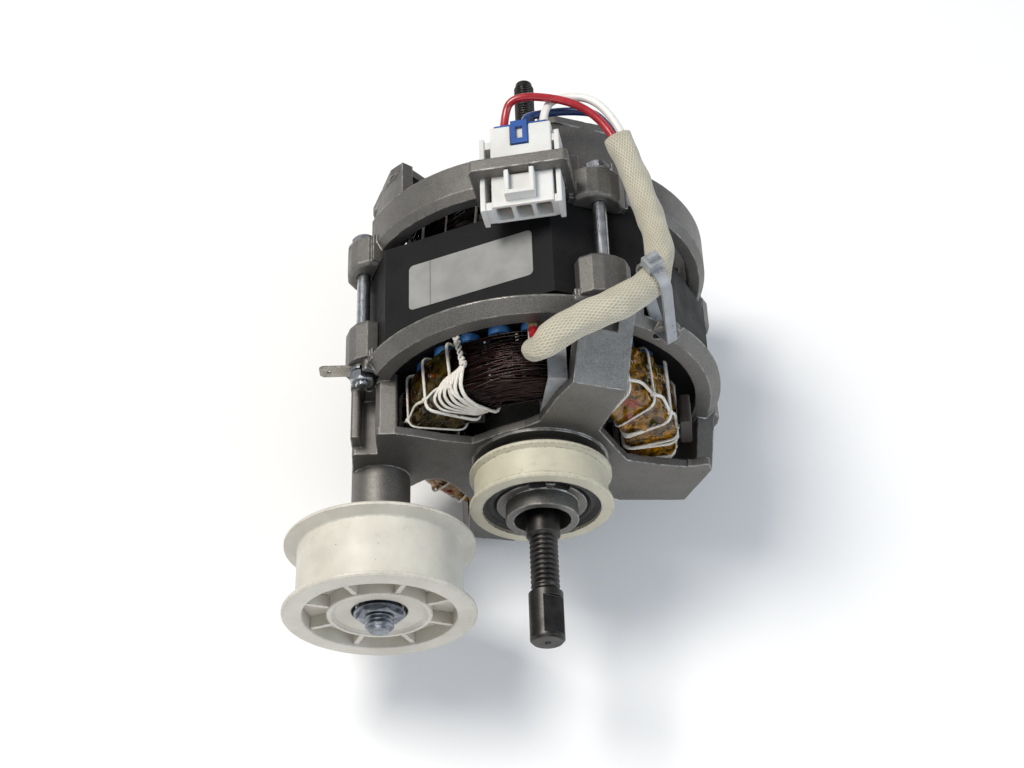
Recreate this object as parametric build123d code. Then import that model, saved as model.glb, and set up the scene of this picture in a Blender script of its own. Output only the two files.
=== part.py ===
"""Tumble-dryer induction motor with an idler pulley on its front bracket.

Sizes are in millimetres. The shaft lies along Y and its working end points to -Y,
X is to the right and Z is up. The origin is the centre of the front mount ring.
"""

import os
from math import atan2, cos, hypot, pi, radians, sin, sqrt, tan

from build123d import *

os.makedirs("parts", exist_ok=True)

# Fits and gaps
GAP = 0.3
WALL = 3.0
AIR_GAP = 0.4
BOLT_PLAY = 0.2

# Stator: a square stack of laminations with chamfered corners
STATOR_ROLL = 25.35
STACK_HALF = 56.0
STACK_FLAT_HALF = 32.0
STACK_FRONT = 41.0
STACK_LENGTH = 38.0
STACK_BACK = STACK_FRONT + STACK_LENGTH
STACK_CORNER_R = (STACK_HALF + STACK_FLAT_HALF) / sqrt(2)
BORE_R = 29.2
SLOTS = 24
SLOT_STEP = 360 / SLOTS
SLOT_DEPTH = 14.3
SLOT_BACK_R = BORE_R + SLOT_DEPTH
SLOT_BACK_WIDTH = 7.0
SLOT_NECK_WIDTH = 5.4
SLOT_OPENING = 2.6
LINER = 0.3
LINER_REACH = 3.5
CUFF = 0.45
CUFF_START_R = BORE_R + 7.8

# Windings
MAIN_R = SLOT_BACK_R - 2.5
MAIN_D = 4.2
MAIN_BEND = 4.6
AUX_R = BORE_R + 3.8
AUX_D = 3.4
AUX_BEND = 3.4
TURN_START = 7.2
TURN_PITCH = 4.65
FRONT_LEVELS = 4
REAR_LEVELS = 5
FRONT_TURN_TOP = STACK_FRONT - TURN_START - (FRONT_LEVELS - 1) * TURN_PITCH - MAIN_D / 2
REAR_TURN_TOP = STACK_BACK + TURN_START + (REAR_LEVELS - 1) * TURN_PITCH + MAIN_D / 2
LACE_D = 1.0
LACE_BEND = 3.3
LACE_INNER_R = BORE_R + 0.7
LACE_OUTER_R = SLOT_BACK_R + 5.8

# Bearings: (shaft radius, outside radius, width, ball radius, ball circle radius, balls)
MOTOR_BEARING = (6.0, 16.0, 10.0, 2.7, 11.0, 7)
IDLER_BEARING = (5.0, 15.0, 9.0, 2.3, 10.0, 8)
SPRING_ROOM = 1.5
SPRING_THICK = 0.4

# Brackets
PLATE_FRONT = 12.0
PLATE_BACK = PLATE_FRONT + WALL
FRONT_BEARING_Y = PLATE_BACK
RIM_FRONT = STACK_FRONT - 7.5
RIM_BACK = STACK_FRONT - 2.7
RIM_R = STACK_CORNER_R + 4.0
BOLT_R = 2.4
BOLT_PITCH = 0.8
BOLT_CIRCLE_R = STACK_CORNER_R + 3.25
EAR_R = BOLT_CIRCLE_R + 5.5
EAR_INNER_R = STACK_CORNER_R + GAP
EAR_HALF = 9.4
EAR_FRONT = STACK_FRONT - 2.5
EAR_DEPTH = 15.5
HUB_R = 15.8
NOSE_R = HUB_R - 3.1
HUB_BORE_R = 10.0
HUB_FRONT = -5.5
NOSE_LENGTH = 5.9
BOSS_R = MOTOR_BEARING[1] + 4.0
HUB_PLATE_R = 24.0
REAR_PLATE = STACK_BACK + 38.0
REAR_RIM = STACK_BACK + 5.0
REAR_RIM_DEPTH = 15.0
REAR_EAR_BACK = STACK_BACK + 11.0
REAR_BEARING_Y = REAR_PLATE - SPRING_ROOM - MOTOR_BEARING[2]

# Mount rings
BUSH_WALL = 4.9
RING_HALF = 7.1
RING_INNER_R = HUB_R + BUSH_WALL
RING_GROOVE_R = RING_INNER_R + 2.8
RING_R = RING_GROOVE_R + 1.66
REAR_RING_Y = REAR_PLATE + 12.3

# Shaft
SHAFT_TIP = -56.9
SHAFT_R = 5.95
SEAT_R = MOTOR_BEARING[0]
FLAT_HALF = 4.5
FLAT_END = SHAFT_TIP + 15.4
RIB_R = 4.95
RIB_DEPTH = 0.95
RIB_PITCH = 1.87
RIB_COUNT = 10
RIB_START = SHAFT_TIP + 19.9
ROTOR_SHAFT_R = 8.5
REAR_SHAFT_R = 5.5
REAR_STEP_R = 5.8
REAR_STEP = REAR_RING_Y + 13.2
REAR_THREAD_R = 4.0
REAR_THREAD_PITCH = 1.25
REAR_THREAD_START = REAR_RING_Y + 35.7
SHAFT_END = REAR_RING_Y + 58.3
THREAD_DEPTH = 0.54

# Rotor
ROTOR_R = BORE_R - AIR_GAP
CAGE_BARS = 20
BAR_R = 1.9
BAR_CIRCLE_R = ROTOR_R - 3.4
CAGE_R = ROTOR_R - 1.2
CAGE_INNER_R = 17.0
CAGE_RING = 7.5
VANES = 8
VANE_HALF = 1.1
FRONT_VANE = 5.0
REAR_VANE = 6.5

# Idler
IDLER_X = -56.8
IDLER_Z = -9.5
POST_R = 10.5
POST_FRONT = -12.0
PULLEY_WIDTH = 27.5
PULLEY_BACK = POST_FRONT - 2.3
PULLEY_FRONT = PULLEY_BACK - PULLEY_WIDTH
PULLEY_BELT_R = 29.0
PULLEY_FLANGE_R = PULLEY_BELT_R + 4.6
PULLEY_INNER_R = PULLEY_BELT_R - 2.4
PULLEY_RIBS = 8
PULLEY_RIB_HALF = 0.9
STUD_R = IDLER_BEARING[0]
STUD_PITCH = 1.5
STUD_FRONT = PULLEY_FRONT - 5.4

# Connector, in its own axes turned about the shaft
CONNECTOR_ROLL = 10.7
CONNECTOR_PITCH = 6.8
CONNECTOR_HEIGHT = 71.5
CONNECTOR_FRONT = REAR_RIM - 16.0
CHANNELS = [2.8 + CONNECTOR_PITCH * k for k in range(3)]
CHANNEL_HALF = 2.2

# Leads
LEAD_R = 1.45
LEAD_SPREAD = 1.9
SLEEVE_R = 4.75
SLEEVE_BORE = SLEEVE_R - 0.6

# Cable tie: where its slot lies in the front rim
TIE_X = 42.2
TIE_Z = 46.5
TIE_WIDTH = 4.0
TIE_THICK = 1.0
TIE_ROOM = 1.6

BOLT_ANGLES = [STATOR_ROLL + 45 + 90 * k for k in range(4)]


def polar(radius, angle):
    """Point (x, z) at a radius from the shaft axis and an angle from +X towards +Z."""
    return radius * cos(radians(angle)), radius * sin(radians(angle))


def across(y, roll=0.0):
    """Work plane square to the shaft, its second axis up and turned by roll."""
    a = radians(roll)
    return Plane(origin=(0, y, 0), x_dir=(cos(a), 0, sin(a)), z_dir=(0, -1, 0))


def join(pieces):
    """One shape from a list of shapes."""
    result = pieces[0]
    for piece in pieces[1:]:
        result += piece
    return result


def cut(shape, tools):
    """A shape less each tool."""
    for tool in tools:
        shape -= tool
    return shape


def rod(radius, y_0, y_1, x=0.0, z=0.0):
    """Solid cylinder along Y."""
    length = y_1 - y_0
    return across(y_0) * Pos(x, z, -length / 2) * Cylinder(radius, length)


def tube(outer, inner, y_0, y_1, x=0.0, z=0.0):
    """Hollow cylinder along Y."""
    return rod(outer, y_0, y_1, x, z) - rod(inner, y_0 - 1, y_1 + 1, x, z)


def outline(points, corner=0.0):
    """Closed face through points, with every corner rounded by the same radius."""
    face = make_face(Polyline(*points, close=True))
    if corner:
        face = fillet(face.vertices(), corner)
    return face


def prism(points, y_0, y_1, roll=0.0, corner=0.0):
    """Outline in (x, z), or in turned axes, extruded along Y."""
    return across(y_0, roll) * extrude(outline(points, corner), -(y_1 - y_0))


def box(x_0, x_1, z_0, z_1, y_0, y_1, roll=0.0, corner=0.0):
    """Block along Y with rounded long edges, in axes turned by roll."""
    points = [(x_0, z_0), (x_1, z_0), (x_1, z_1), (x_0, z_1)]
    return prism(points, y_0, y_1, roll, corner)


def turned(profile, x=0.0, z=0.0, angle=360.0):
    """Profile of (radius, y) points turned about an axis along Y."""
    face = make_face(Polyline(*profile, close=True))
    return Pos(x, 0, z) * revolve(face, Axis.Y, angle)


def sector(outer, inner, middle, half, y_0, y_1):
    """Part of a ring between two angles."""
    steps = 6
    angles = [middle - half + 2 * half * k / steps for k in range(steps + 1)]
    far = outer / cos(radians(half / steps)) + 4
    wedge = [(0.0, 0.0)] + [polar(far, a) for a in angles]
    return tube(outer, inner, y_0, y_1) & prism(wedge, y_0 - 1, y_1 + 1)


def hexagon(flats, y_0, y_1, x, z, roll=0.0):
    """Hexagonal block along Y with its corners turned off."""
    corner = flats / 2 / cos(radians(30))
    points = [
        (corner * cos(radians(60 * k + roll)), corner * sin(radians(60 * k + roll)))
        for k in range(6)
    ]
    block = Pos(x, 0, z) * prism(points, y_0, y_1)
    turned_off = min(0.12 * flats, 0.3 * (y_1 - y_0))
    low = flats / 2 * 0.93
    full = corner + 0.1
    cone = [
        (0, y_0),
        (low, y_0),
        (full, y_0 + turned_off),
        (full, y_1 - turned_off),
        (low, y_1),
        (0, y_1),
    ]
    return block & turned(cone, x, z)


def threaded(radius, pitch, y_0, y_1, x=0.0, z=0.0):
    """Rod whose surface is a row of vee grooves at the thread's pitch."""
    depth = THREAD_DEPTH * pitch
    count = int((y_1 - y_0) / pitch)
    first = y_0 + (y_1 - y_0 - count * pitch) / 2
    profile = [(0, y_0), (radius - depth, y_0), (radius - depth, first)]
    for k in range(count):
        start = first + k * pitch
        profile.append((radius, start + 0.44 * pitch))
        profile.append((radius, start + 0.56 * pitch))
        profile.append((radius - depth, start + pitch))
    profile.append((radius - depth, y_1))
    profile.append((0, y_1))
    return turned(tidy(profile), x, z)


def tidy(profile):
    """A profile without points that repeat the one before."""
    kept = [profile[0]]
    for point in profile[1:]:
        if hypot(point[0] - kept[-1][0], point[1] - kept[-1][1]) > 1e-6:
            kept.append(point)
    return kept


def unit(v):
    """Vector of length one."""
    length = sqrt(sum(c * c for c in v))
    return tuple(c / length for c in v)


def add(a, b, k=1.0):
    """Sum of a and k times b."""
    return tuple(p + k * q for p, q in zip(a, b))


def dot(a, b):
    """Scalar product."""
    return sum(p * q for p, q in zip(a, b))


def cross(a, b):
    """Vector product."""
    return (
        a[1] * b[2] - a[2] * b[1],
        a[2] * b[0] - a[0] * b[2],
        a[0] * b[1] - a[1] * b[0],
    )


def bends(points, widest):
    """Bend radius at each inner corner: 0.45 of the shorter run, up to the widest."""
    radii = []
    for k in range(1, len(points) - 1):
        back = add(points[k], points[k - 1], -1)
        ahead = add(points[k + 1], points[k], -1)
        shorter = min(sqrt(dot(back, back)), sqrt(dot(ahead, ahead)))
        half_turn = acos_safe(dot(unit(back), unit(ahead))) / 2
        radii.append(min(widest, 0.45 * shorter / tan(half_turn)))
    return radii


def acos_safe(value):
    """Angle of a cosine that rounding may have pushed past one."""
    value = max(-1.0, min(1.0, value))
    return atan2(sqrt(1 - value * value), value)


def beside(points, radii, aside):
    """Corners and bend radii of a path that runs beside another path."""
    direction = unit(add(points[1], points[0], -1))
    shift = add(aside, direction, -dot(aside, direction))
    moved = [add(points[0], shift)]
    moved_radii = []
    for k in range(1, len(points) - 1):
        ahead = unit(add(points[k + 1], points[k], -1))
        turn = acos_safe(dot(direction, ahead))
        inward = unit(add(ahead, direction, -dot(ahead, direction)))
        binormal = unit(cross(direction, ahead))
        a = dot(shift, inward)
        b = dot(shift, binormal)
        corner = add(points[k], binormal, b)
        corner = add(corner, inward, a)
        corner = add(corner, direction, -a * tan(turn / 2))
        moved.append(corner)
        moved_radii.append(radii[k - 1] - a)
        inward_after = add(tuple(cos(turn) * c for c in inward), direction, -sin(turn))
        shift = add(tuple(a * c for c in inward_after), binormal, b)
        direction = ahead
    moved.append(add(points[-1], shift))
    return moved, moved_radii


def pipe(name, points, radii, radius, bore=0.0):
    """Round tube along straight runs joined by tangent arcs."""
    path = FilletPolyline(*points, radius=radii)
    plane = Plane(origin=path @ 0, z_dir=path % 0)
    solid = sweep(plane * Circle(radius), path=path)
    area = pi * radius * radius
    if bore:
        solid -= sweep(plane * Circle(bore), path=path)
        area -= pi * bore * bore
    length = path.length
    share = solid.volume / (area * length)
    print(name, "length", round(length, 1), "least bend", round(min(radii), 1))
    print(name, "volume over section times length", round(share, 4))
    return solid


def save(node, shape):
    """Writes one node."""
    export_step(shape, "parts/" + node + ".step")


# Stator stack

STACK_OUTLINE = [
    (STACK_HALF, -STACK_FLAT_HALF),
    (STACK_HALF, STACK_FLAT_HALF),
    (STACK_FLAT_HALF, STACK_HALF),
    (-STACK_FLAT_HALF, STACK_HALF),
    (-STACK_HALF, STACK_FLAT_HALF),
    (-STACK_HALF, -STACK_FLAT_HALF),
    (-STACK_FLAT_HALF, -STACK_HALF),
    (STACK_FLAT_HALF, -STACK_HALF),
]


def slot_face(inset=0.0, from_r=None):
    """Slot outline along +X, opening to the bore, drawn smaller by an inset."""
    neck = SLOT_NECK_WIDTH / 2 - inset
    back = SLOT_BACK_WIDTH / 2 - inset
    if from_r is None:
        lip = SLOT_OPENING / 2
        start = [(BORE_R - 1, lip), (BORE_R + 1.0, lip), (BORE_R + 1.6, neck)]
    else:
        start = [(from_r, neck)]
    upper = start + [(SLOT_BACK_R, back)]
    lower = [(x, -y) for x, y in reversed(upper)]
    edges = Polyline(*lower, *upper)
    arc = ThreePointArc(upper[-1], (SLOT_BACK_R + back, 0), lower[0])
    return make_face([edges, arc])


def around_slots(face, y_0, y_1):
    """A face on the slot's own line, extruded and repeated round the slots."""
    pieces = []
    for k in range(SLOTS):
        angle = STATOR_ROLL + SLOT_STEP * (k + 0.5)
        pieces.append(across(y_0, angle) * extrude(face, -(y_1 - y_0)))
    return pieces


stack = prism(STACK_OUTLINE, STACK_FRONT, STACK_BACK, STATOR_ROLL)
stack -= rod(BORE_R, STACK_FRONT - 1, STACK_BACK + 1)
stack -= around_slots(slot_face(), STACK_FRONT - 1, STACK_BACK + 1)
save("stator_stack", stack)

liner_start = BORE_R + 2.0
liner_face = slot_face(0.0, liner_start) - slot_face(LINER, liner_start - 0.2)
cuff_face = slot_face(-CUFF, CUFF_START_R) - slot_face(0.0, CUFF_START_R - 1.0)
cuff_near = 0.4
cuff_far = LINER_REACH - 0.2
liners = around_slots(liner_face, STACK_FRONT - LINER_REACH, STACK_BACK + LINER_REACH)
cuffs_front = around_slots(cuff_face, STACK_FRONT - cuff_far, STACK_FRONT - cuff_near)
cuffs_back = around_slots(cuff_face, STACK_BACK + cuff_near, STACK_BACK + cuff_far)
liner_solids = [a + b + c for a, b, c in zip(liners, cuffs_front, cuffs_back)]
save("slot_liners", Compound(children=liner_solids))

wedge_half = [(BORE_R + 1.1, 1.2), (BORE_R + 1.7, 2.3), (BORE_R + 1.95, 2.3)]
wedge_face = outline(wedge_half + [(x, -y) for x, y in reversed(wedge_half)])
wedges = around_slots(wedge_face, STACK_FRONT - 1.5, STACK_BACK + 1.5)
save("slot_wedges", Compound(children=wedges))


# Windings: each is one unbroken wire bundle that passes through its slots in turn


class Route:
    """A path of straight runs and arcs, kept as edges and as sampled points."""

    def __init__(self, start):
        self.end = start
        self.edges = []
        self.points = [start]

    def line(self, target):
        start = self.end
        run = add(target, start, -1)
        self.edges.append(Edge.make_line(start, target))
        self.sample(lambda t: add(start, run, t), max(2, int(sqrt(dot(run, run)) / 0.8)))
        self.end = target

    def sample(self, curve, count):
        for k in range(1, count + 1):
            self.points.append(curve(k / count))

    def arc(self, centre, start_arm, end_arm, turn):
        """Arc about a centre from one arm to another through an angle."""
        radius = sqrt(dot(start_arm, start_arm))
        side = unit(add(end_arm, start_arm, -dot(end_arm, start_arm) / radius**2))

        def at(t):
            a = turn * t
            point = add(centre, start_arm, cos(a))
            return add(point, side, radius * sin(a))

        middle = at(0.5)
        last = at(1.0)
        self.edges.append(Edge.make_three_point_arc(Vector(*self.end), Vector(*middle), Vector(*last)))
        self.sample(at, max(3, int(radius * turn / 0.8)))
        self.end = last


def slot_point(radius, angle, y):
    """Point in a slot, at an angle in the stator's own frame."""
    x, z = polar(radius, angle + STATOR_ROLL)
    return (x, y, z)


def end_turn(route, radius, bend, angle_from, angle_to, plane_y, outward):
    """Leads the route from one slot to another over one end of the stack."""
    middle = (angle_from + angle_to) / 2
    half = abs(angle_to - angle_from) / 2
    side = 1 if angle_to > angle_from else -1
    edge_y = plane_y - outward * bend
    route.line(slot_point(radius, angle_from, edge_y))
    axial = (0, outward, 0)
    tx, tz = polar(1, angle_from + STATOR_ROLL + 90 * side)
    tangent = (tx, 0, tz)
    centre = add(route.end, tangent, bend)
    route.arc(centre, tuple(-bend * c for c in tangent), tuple(bend * c for c in axial), pi / 2)
    arc_r = radius - bend / tan(radians(half))
    cx, cz = polar(bend / sin(radians(half)), middle + STATOR_ROLL)
    centre = (cx, plane_y, cz)
    start_arm = add(route.end, centre, -1)
    ex, ez = polar(arc_r, angle_to + STATOR_ROLL)
    route.arc(centre, start_arm, (ex, 0, ez), radians(2 * half))
    sx, sz = polar(1, angle_to + STATOR_ROLL - 90 * side)
    back = (sx, 0, sz)
    centre = add(route.end, axial, -bend)
    route.arc(centre, tuple(bend * c for c in axial), tuple(-bend * c for c in back), pi / 2)


def least_gap(points, diameter):
    """Least gap between stretches of a wire that aren't next to one another."""
    reach = int(2.2 * diameter / 0.7) + 2
    cell = diameter + 2
    grid = {}
    for i, p in enumerate(points):
        grid.setdefault(tuple(int(c // cell) for c in p), []).append(i)
    least = 99.0
    for i, p in enumerate(points):
        key = tuple(int(c // cell) for c in p)
        for dx in (-1, 0, 1):
            for dy in (-1, 0, 1):
                for dz in (-1, 0, 1):
                    for j in grid.get((key[0] + dx, key[1] + dy, key[2] + dz), ()):
                        if j > i + reach:
                            d = add(points[j], p, -1)
                            least = min(least, dot(d, d))
    return sqrt(least) - diameter


def coils():
    """End turns in order: (slot from, slot to, level, end), end -1 front and 1 rear."""
    turns = []
    angles = [SLOT_STEP * (k + 1.5) for k in range(REAR_LEVELS)]
    for k, angle in enumerate(angles):
        turns.append((-angle, angle, k, 1))
        if k < FRONT_LEVELS:
            turns.append((angle, -angles[k + 1], k, -1))
    turns.append((angles[-1], 180 - angles[-1], 0, -1))
    for k in reversed(range(REAR_LEVELS)):
        turns.append((180 - angles[k], 180 + angles[k], k, 1))
        if k > 0:
            turns.append((180 + angles[k], 180 - angles[k - 1], k - 1, -1))
    return turns


def winding(node, radius, diameter, bend, quarter):
    """One winding of ten loops laid in two poles."""
    front_stub = STACK_FRONT - 2.0
    turns = coils()
    route = Route(slot_point(radius, turns[0][0] + quarter, front_stub))
    for angle_from, angle_to, level, end in turns:
        face = STACK_BACK if end > 0 else STACK_FRONT
        plane_y = face + end * (TURN_START + TURN_PITCH * level)
        end_turn(route, radius, bend, angle_from + quarter, angle_to + quarter, plane_y, end)
    last_angle = turns[-1][1] + quarter
    route.line(slot_point(radius, last_angle, front_stub))
    wire = Wire(route.edges)
    plane = Plane(origin=wire @ 0, z_dir=wire % 0)
    solid = sweep(plane * Circle(diameter / 2), path=wire)
    share = solid.volume / (pi * diameter**2 / 4 * wire.length)
    gap = least_gap(route.points, diameter)
    print(node, "length", round(wire.length), "volume share", round(share, 4), "least gap", round(gap, 2))
    save(node, solid)


winding("main_winding", MAIN_R, MAIN_D, MAIN_BEND, 0.0)
winding("aux_winding", AUX_R, AUX_D, AUX_BEND, 90.0)


def lacing(node, near_y, far_y):
    """Cord laced round the end turns, one loop in each gap between slots."""
    points = []
    for k in range(SLOTS):
        angle = STATOR_ROLL + SLOT_STEP * k
        corners = [
            (LACE_INNER_R, near_y, 0.0),
            (LACE_INNER_R, far_y, 0.2 * SLOT_STEP),
            (LACE_OUTER_R, far_y, 0.8 * SLOT_STEP),
            (LACE_OUTER_R, near_y, SLOT_STEP),
        ]
        for radius, y, ahead in corners:
            x, z = polar(radius, angle + ahead)
            points.append((x, y, z))
    save(node, pipe(node, points, bends(points, LACE_BEND), LACE_D / 2))


lacing("front_lacing", STACK_FRONT - 1.6, FRONT_TURN_TOP - 1.25)
lacing("rear_lacing", STACK_BACK + 1.6, REAR_TURN_TOP + 1.25)


# Insulation between and over the end turns

FILM = 0.2

barrier_r = MAIN_R - MAIN_D / 2 - 0.4
barrier_inner = barrier_r - 0.4
barrier_near = LINER_REACH + 0.4
barrier_front = tube(barrier_r, barrier_inner, FRONT_TURN_TOP + 0.5, STACK_FRONT - barrier_near)
barrier_back = tube(barrier_r, barrier_inner, STACK_BACK + barrier_near, REAR_TURN_TOP - 0.5)
save("phase_insulation", Compound(children=[barrier_front, barrier_back]))


def film(middle, half):
    """Film folded over the front end turns between two angles."""
    near = STACK_FRONT - LINER_REACH - 0.7
    far = FRONT_TURN_TOP - 0.5

    def fold(skin):
        inner = BORE_R + 1.55 + skin
        outer = SLOT_BACK_R + 4.7 - skin
        top = far + skin
        return [
            (inner, near),
            (inner, top + 1.9),
            (inner + 0.6, top + 0.6),
            (inner + 1.9, top),
            (outer - 1.6, top),
            (outer - 0.5, top + 0.6),
            (outer, top + 1.9),
            (outer, near),
        ]

    whole = turned(fold(0.0) + list(reversed(fold(FILM))))
    wedge = [(0.0, 0.0)]
    for k in range(9):
        wedge.append(polar(90, middle - half + half * k / 4))
    return whole & prism(wedge, far - 1, near + 1)


save("end_film", Compound(children=[film(10, 42), film(214, 21)]))

protector_r = LACE_OUTER_R + LACE_D / 2 + 0.6
protector_y = FRONT_TURN_TOP + 1.75
protector_end = protector_y + 11.0
protector = box(protector_r, protector_r + 4.0, -7.5, 7.5, protector_y, protector_end, 6.0, 1.2)
save("thermal_protector", protector)


# Label on the stack

roll_cos = cos(radians(STATOR_ROLL))
roll_sin = sin(radians(STATOR_ROLL))
label_middle = (STACK_FRONT + STACK_BACK) / 2 - 0.7
label_plane = Plane(
    origin=(-STACK_HALF * roll_sin, label_middle, STACK_HALF * roll_cos),
    x_dir=(roll_cos, 0, roll_sin),
    z_dir=(-roll_sin, 0, roll_cos),
)
label = extrude(RectangleRounded(47.2, 18.6, 1.8), 0.12)
save("stator_label", label_plane * Pos(1.1, 0, 0) * label)


# Rotor

def shaft_profile():
    """Half section of the shaft from its working end to its rear end."""
    profile = [(0, SHAFT_TIP), (5.1, SHAFT_TIP), (SHAFT_R, SHAFT_TIP + 0.9)]
    neck = RIB_R - 0.35
    profile += [(SHAFT_R, RIB_START - 2.2), (neck, RIB_START - 1.0), (neck, RIB_START - 0.3)]
    for k in range(RIB_COUNT):
        start = RIB_START + k * RIB_PITCH
        profile += [
            (RIB_R, start + 0.28),
            (RIB_R, start + 0.62),
            (RIB_R - RIB_DEPTH, start + 1.15),
            (RIB_R - RIB_DEPTH, start + 1.35),
        ]
    ribs_end = RIB_START + RIB_COUNT * RIB_PITCH
    profile += [(RIB_R, ribs_end + 0.2), (SHAFT_R, ribs_end + 0.9), (SHAFT_R, FRONT_BEARING_Y - 1)]
    front_shoulder = FRONT_BEARING_Y + MOTOR_BEARING[2]
    profile += [(SEAT_R, FRONT_BEARING_Y - 0.9), (SEAT_R, front_shoulder), (ROTOR_SHAFT_R, front_shoulder)]
    profile += [(ROTOR_SHAFT_R, REAR_BEARING_Y), (SEAT_R, REAR_BEARING_Y), (SEAT_R, REAR_PLATE + 0.5)]
    profile += [(REAR_STEP_R, REAR_PLATE + 1.0), (REAR_STEP_R, REAR_STEP), (REAR_SHAFT_R, REAR_STEP + 0.3)]
    profile.append((REAR_SHAFT_R, REAR_THREAD_START - 1.2))
    root = REAR_THREAD_R - THREAD_DEPTH * REAR_THREAD_PITCH
    profile += [(root, REAR_THREAD_START), (root, REAR_THREAD_START + 0.8)]
    count = int((SHAFT_END - REAR_THREAD_START - 2.0) / REAR_THREAD_PITCH)
    for k in range(count):
        start = REAR_THREAD_START + 0.8 + k * REAR_THREAD_PITCH
        profile += [
            (REAR_THREAD_R, start + 0.44 * REAR_THREAD_PITCH),
            (REAR_THREAD_R, start + 0.56 * REAR_THREAD_PITCH),
            (root, start + REAR_THREAD_PITCH),
        ]
    profile += [(root, SHAFT_END), (0, SHAFT_END)]
    return tidy(profile)


shaft = turned(shaft_profile())
for side in (0, 180):
    shaft -= box(FLAT_HALF, 9, -9, 9, SHAFT_TIP + 1.8, FLAT_END, 60 + side)
shaft -= turned([(0, SHAFT_TIP - 1), (2.2, SHAFT_TIP - 1), (0, SHAFT_TIP + 1.4)])
shaft -= turned([(0, SHAFT_END + 1), (2.0, SHAFT_END + 1), (0, SHAFT_END - 1.2)])
save("shaft", shaft)

core_front = STACK_FRONT - 0.5
core_back = STACK_BACK + 0.5
bars = []
for k in range(CAGE_BARS):
    bar_x, bar_z = polar(BAR_CIRCLE_R, 360 / CAGE_BARS * k)
    bars.append(rod(BAR_R, core_front, core_back, bar_x, bar_z))
save("rotor_core", cut(tube(ROTOR_R, ROTOR_SHAFT_R, core_front, core_back), bars))

ring_front = core_front - CAGE_RING
ring_back = core_back + CAGE_RING
cage_pieces = [
    tube(CAGE_R, CAGE_INNER_R, ring_front, core_front),
    tube(CAGE_R, CAGE_INNER_R, core_back, ring_back),
]
vane_in = CAGE_INNER_R + 2.0
vane_out = CAGE_R - 0.6
vane = [(vane_in, -VANE_HALF), (vane_out, -VANE_HALF), (vane_out, VANE_HALF), (vane_in, VANE_HALF)]
for k in range(VANES):
    angle = 360 / VANES * k
    cage_pieces.append(prism(vane, ring_front - FRONT_VANE, ring_front + 0.5, angle))
    cage_pieces.append(prism(vane, ring_back - 0.5, ring_back + REAR_VANE, angle))
cage = join(cage_pieces + bars)
save("rotor_cage", cage)


# Bearings


def bearing(prefix, sizes, y_0, x=0.0, z=0.0):
    """Deep-groove ball bearing: rings, balls, cage and seals."""
    shaft_r, outer_r, width, ball_r, circle_r, balls = sizes
    middle = y_0 + width / 2
    groove_r = ball_r + 0.3
    land = 0.55 * ball_r
    edge = 0.5
    inner_land = circle_r - land
    outer_land = circle_r + land
    inner_profile = [
        (shaft_r, y_0),
        (inner_land - edge, y_0),
        (inner_land, y_0 + edge),
        (inner_land, y_0 + width - edge),
        (inner_land - edge, y_0 + width),
        (shaft_r, y_0 + width),
    ]
    outer_profile = [
        (outer_land, y_0),
        (outer_r - edge, y_0),
        (outer_r, y_0 + edge),
        (outer_r, y_0 + width - edge),
        (outer_r - edge, y_0 + width),
        (outer_land, y_0 + width),
    ]
    groove = Pos(x, middle, z) * Rot(90, 0, 0) * Torus(circle_r, groove_r)
    save(prefix + "_bearing_inner", turned(inner_profile, x, z) - groove)
    save(prefix + "_bearing_outer", turned(outer_profile, x, z) - groove)
    spheres = []
    pockets = []
    for k in range(balls):
        bx, bz = polar(circle_r, 360 / balls * k)
        spheres.append(Pos(x + bx, middle, z + bz) * Sphere(ball_r))
        pocket_plane = Plane(origin=(x + bx, middle, z + bz), z_dir=(bx, 0, bz))
        pockets.append(pocket_plane * Cylinder(ball_r + 0.1, 3.0))
    save(prefix + "_bearing_balls", Compound(children=spheres))
    cage_half = ball_r + 0.8
    cage_ring = tube(circle_r + 0.6, circle_r - 0.6, middle - cage_half, middle + cage_half, x, z)
    save(prefix + "_bearing_cage", cut(cage_ring, pockets))
    seals = []
    for side in (-1, 1):
        seal_middle = middle + side * (width / 2 - 0.75)
        seals.append(tube(outer_land, inner_land + GAP, seal_middle - 0.3, seal_middle + 0.3, x, z))
    save(prefix + "_bearing_seals", Compound(children=seals))


bearing("front", MOTOR_BEARING, FRONT_BEARING_Y)
bearing("rear", MOTOR_BEARING, REAR_BEARING_Y)

spring_front = REAR_BEARING_Y + MOTOR_BEARING[2]
spring_middle = (spring_front + REAR_PLATE - SPRING_THICK) / 2
spring_r = MOTOR_BEARING[1] - 0.5
spring_bore = MOTOR_BEARING[1] - 3.2
spring_pieces = [tube(spring_r, spring_bore, spring_middle, spring_middle + SPRING_THICK)]
for k in range(3):
    crest = sector(spring_r, spring_bore, 120 * k, 20, spring_front, spring_middle + 0.01)
    trough = sector(spring_r, spring_bore, 120 * k + 60, 20, spring_middle + SPRING_THICK - 0.01, REAR_PLATE)
    spring_pieces += [crest, trough]
save("wave_spring", join(spring_pieces))


# Front bracket

BOLT_POINTS = [polar(BOLT_CIRCLE_R, a) for a in BOLT_ANGLES]

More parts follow.
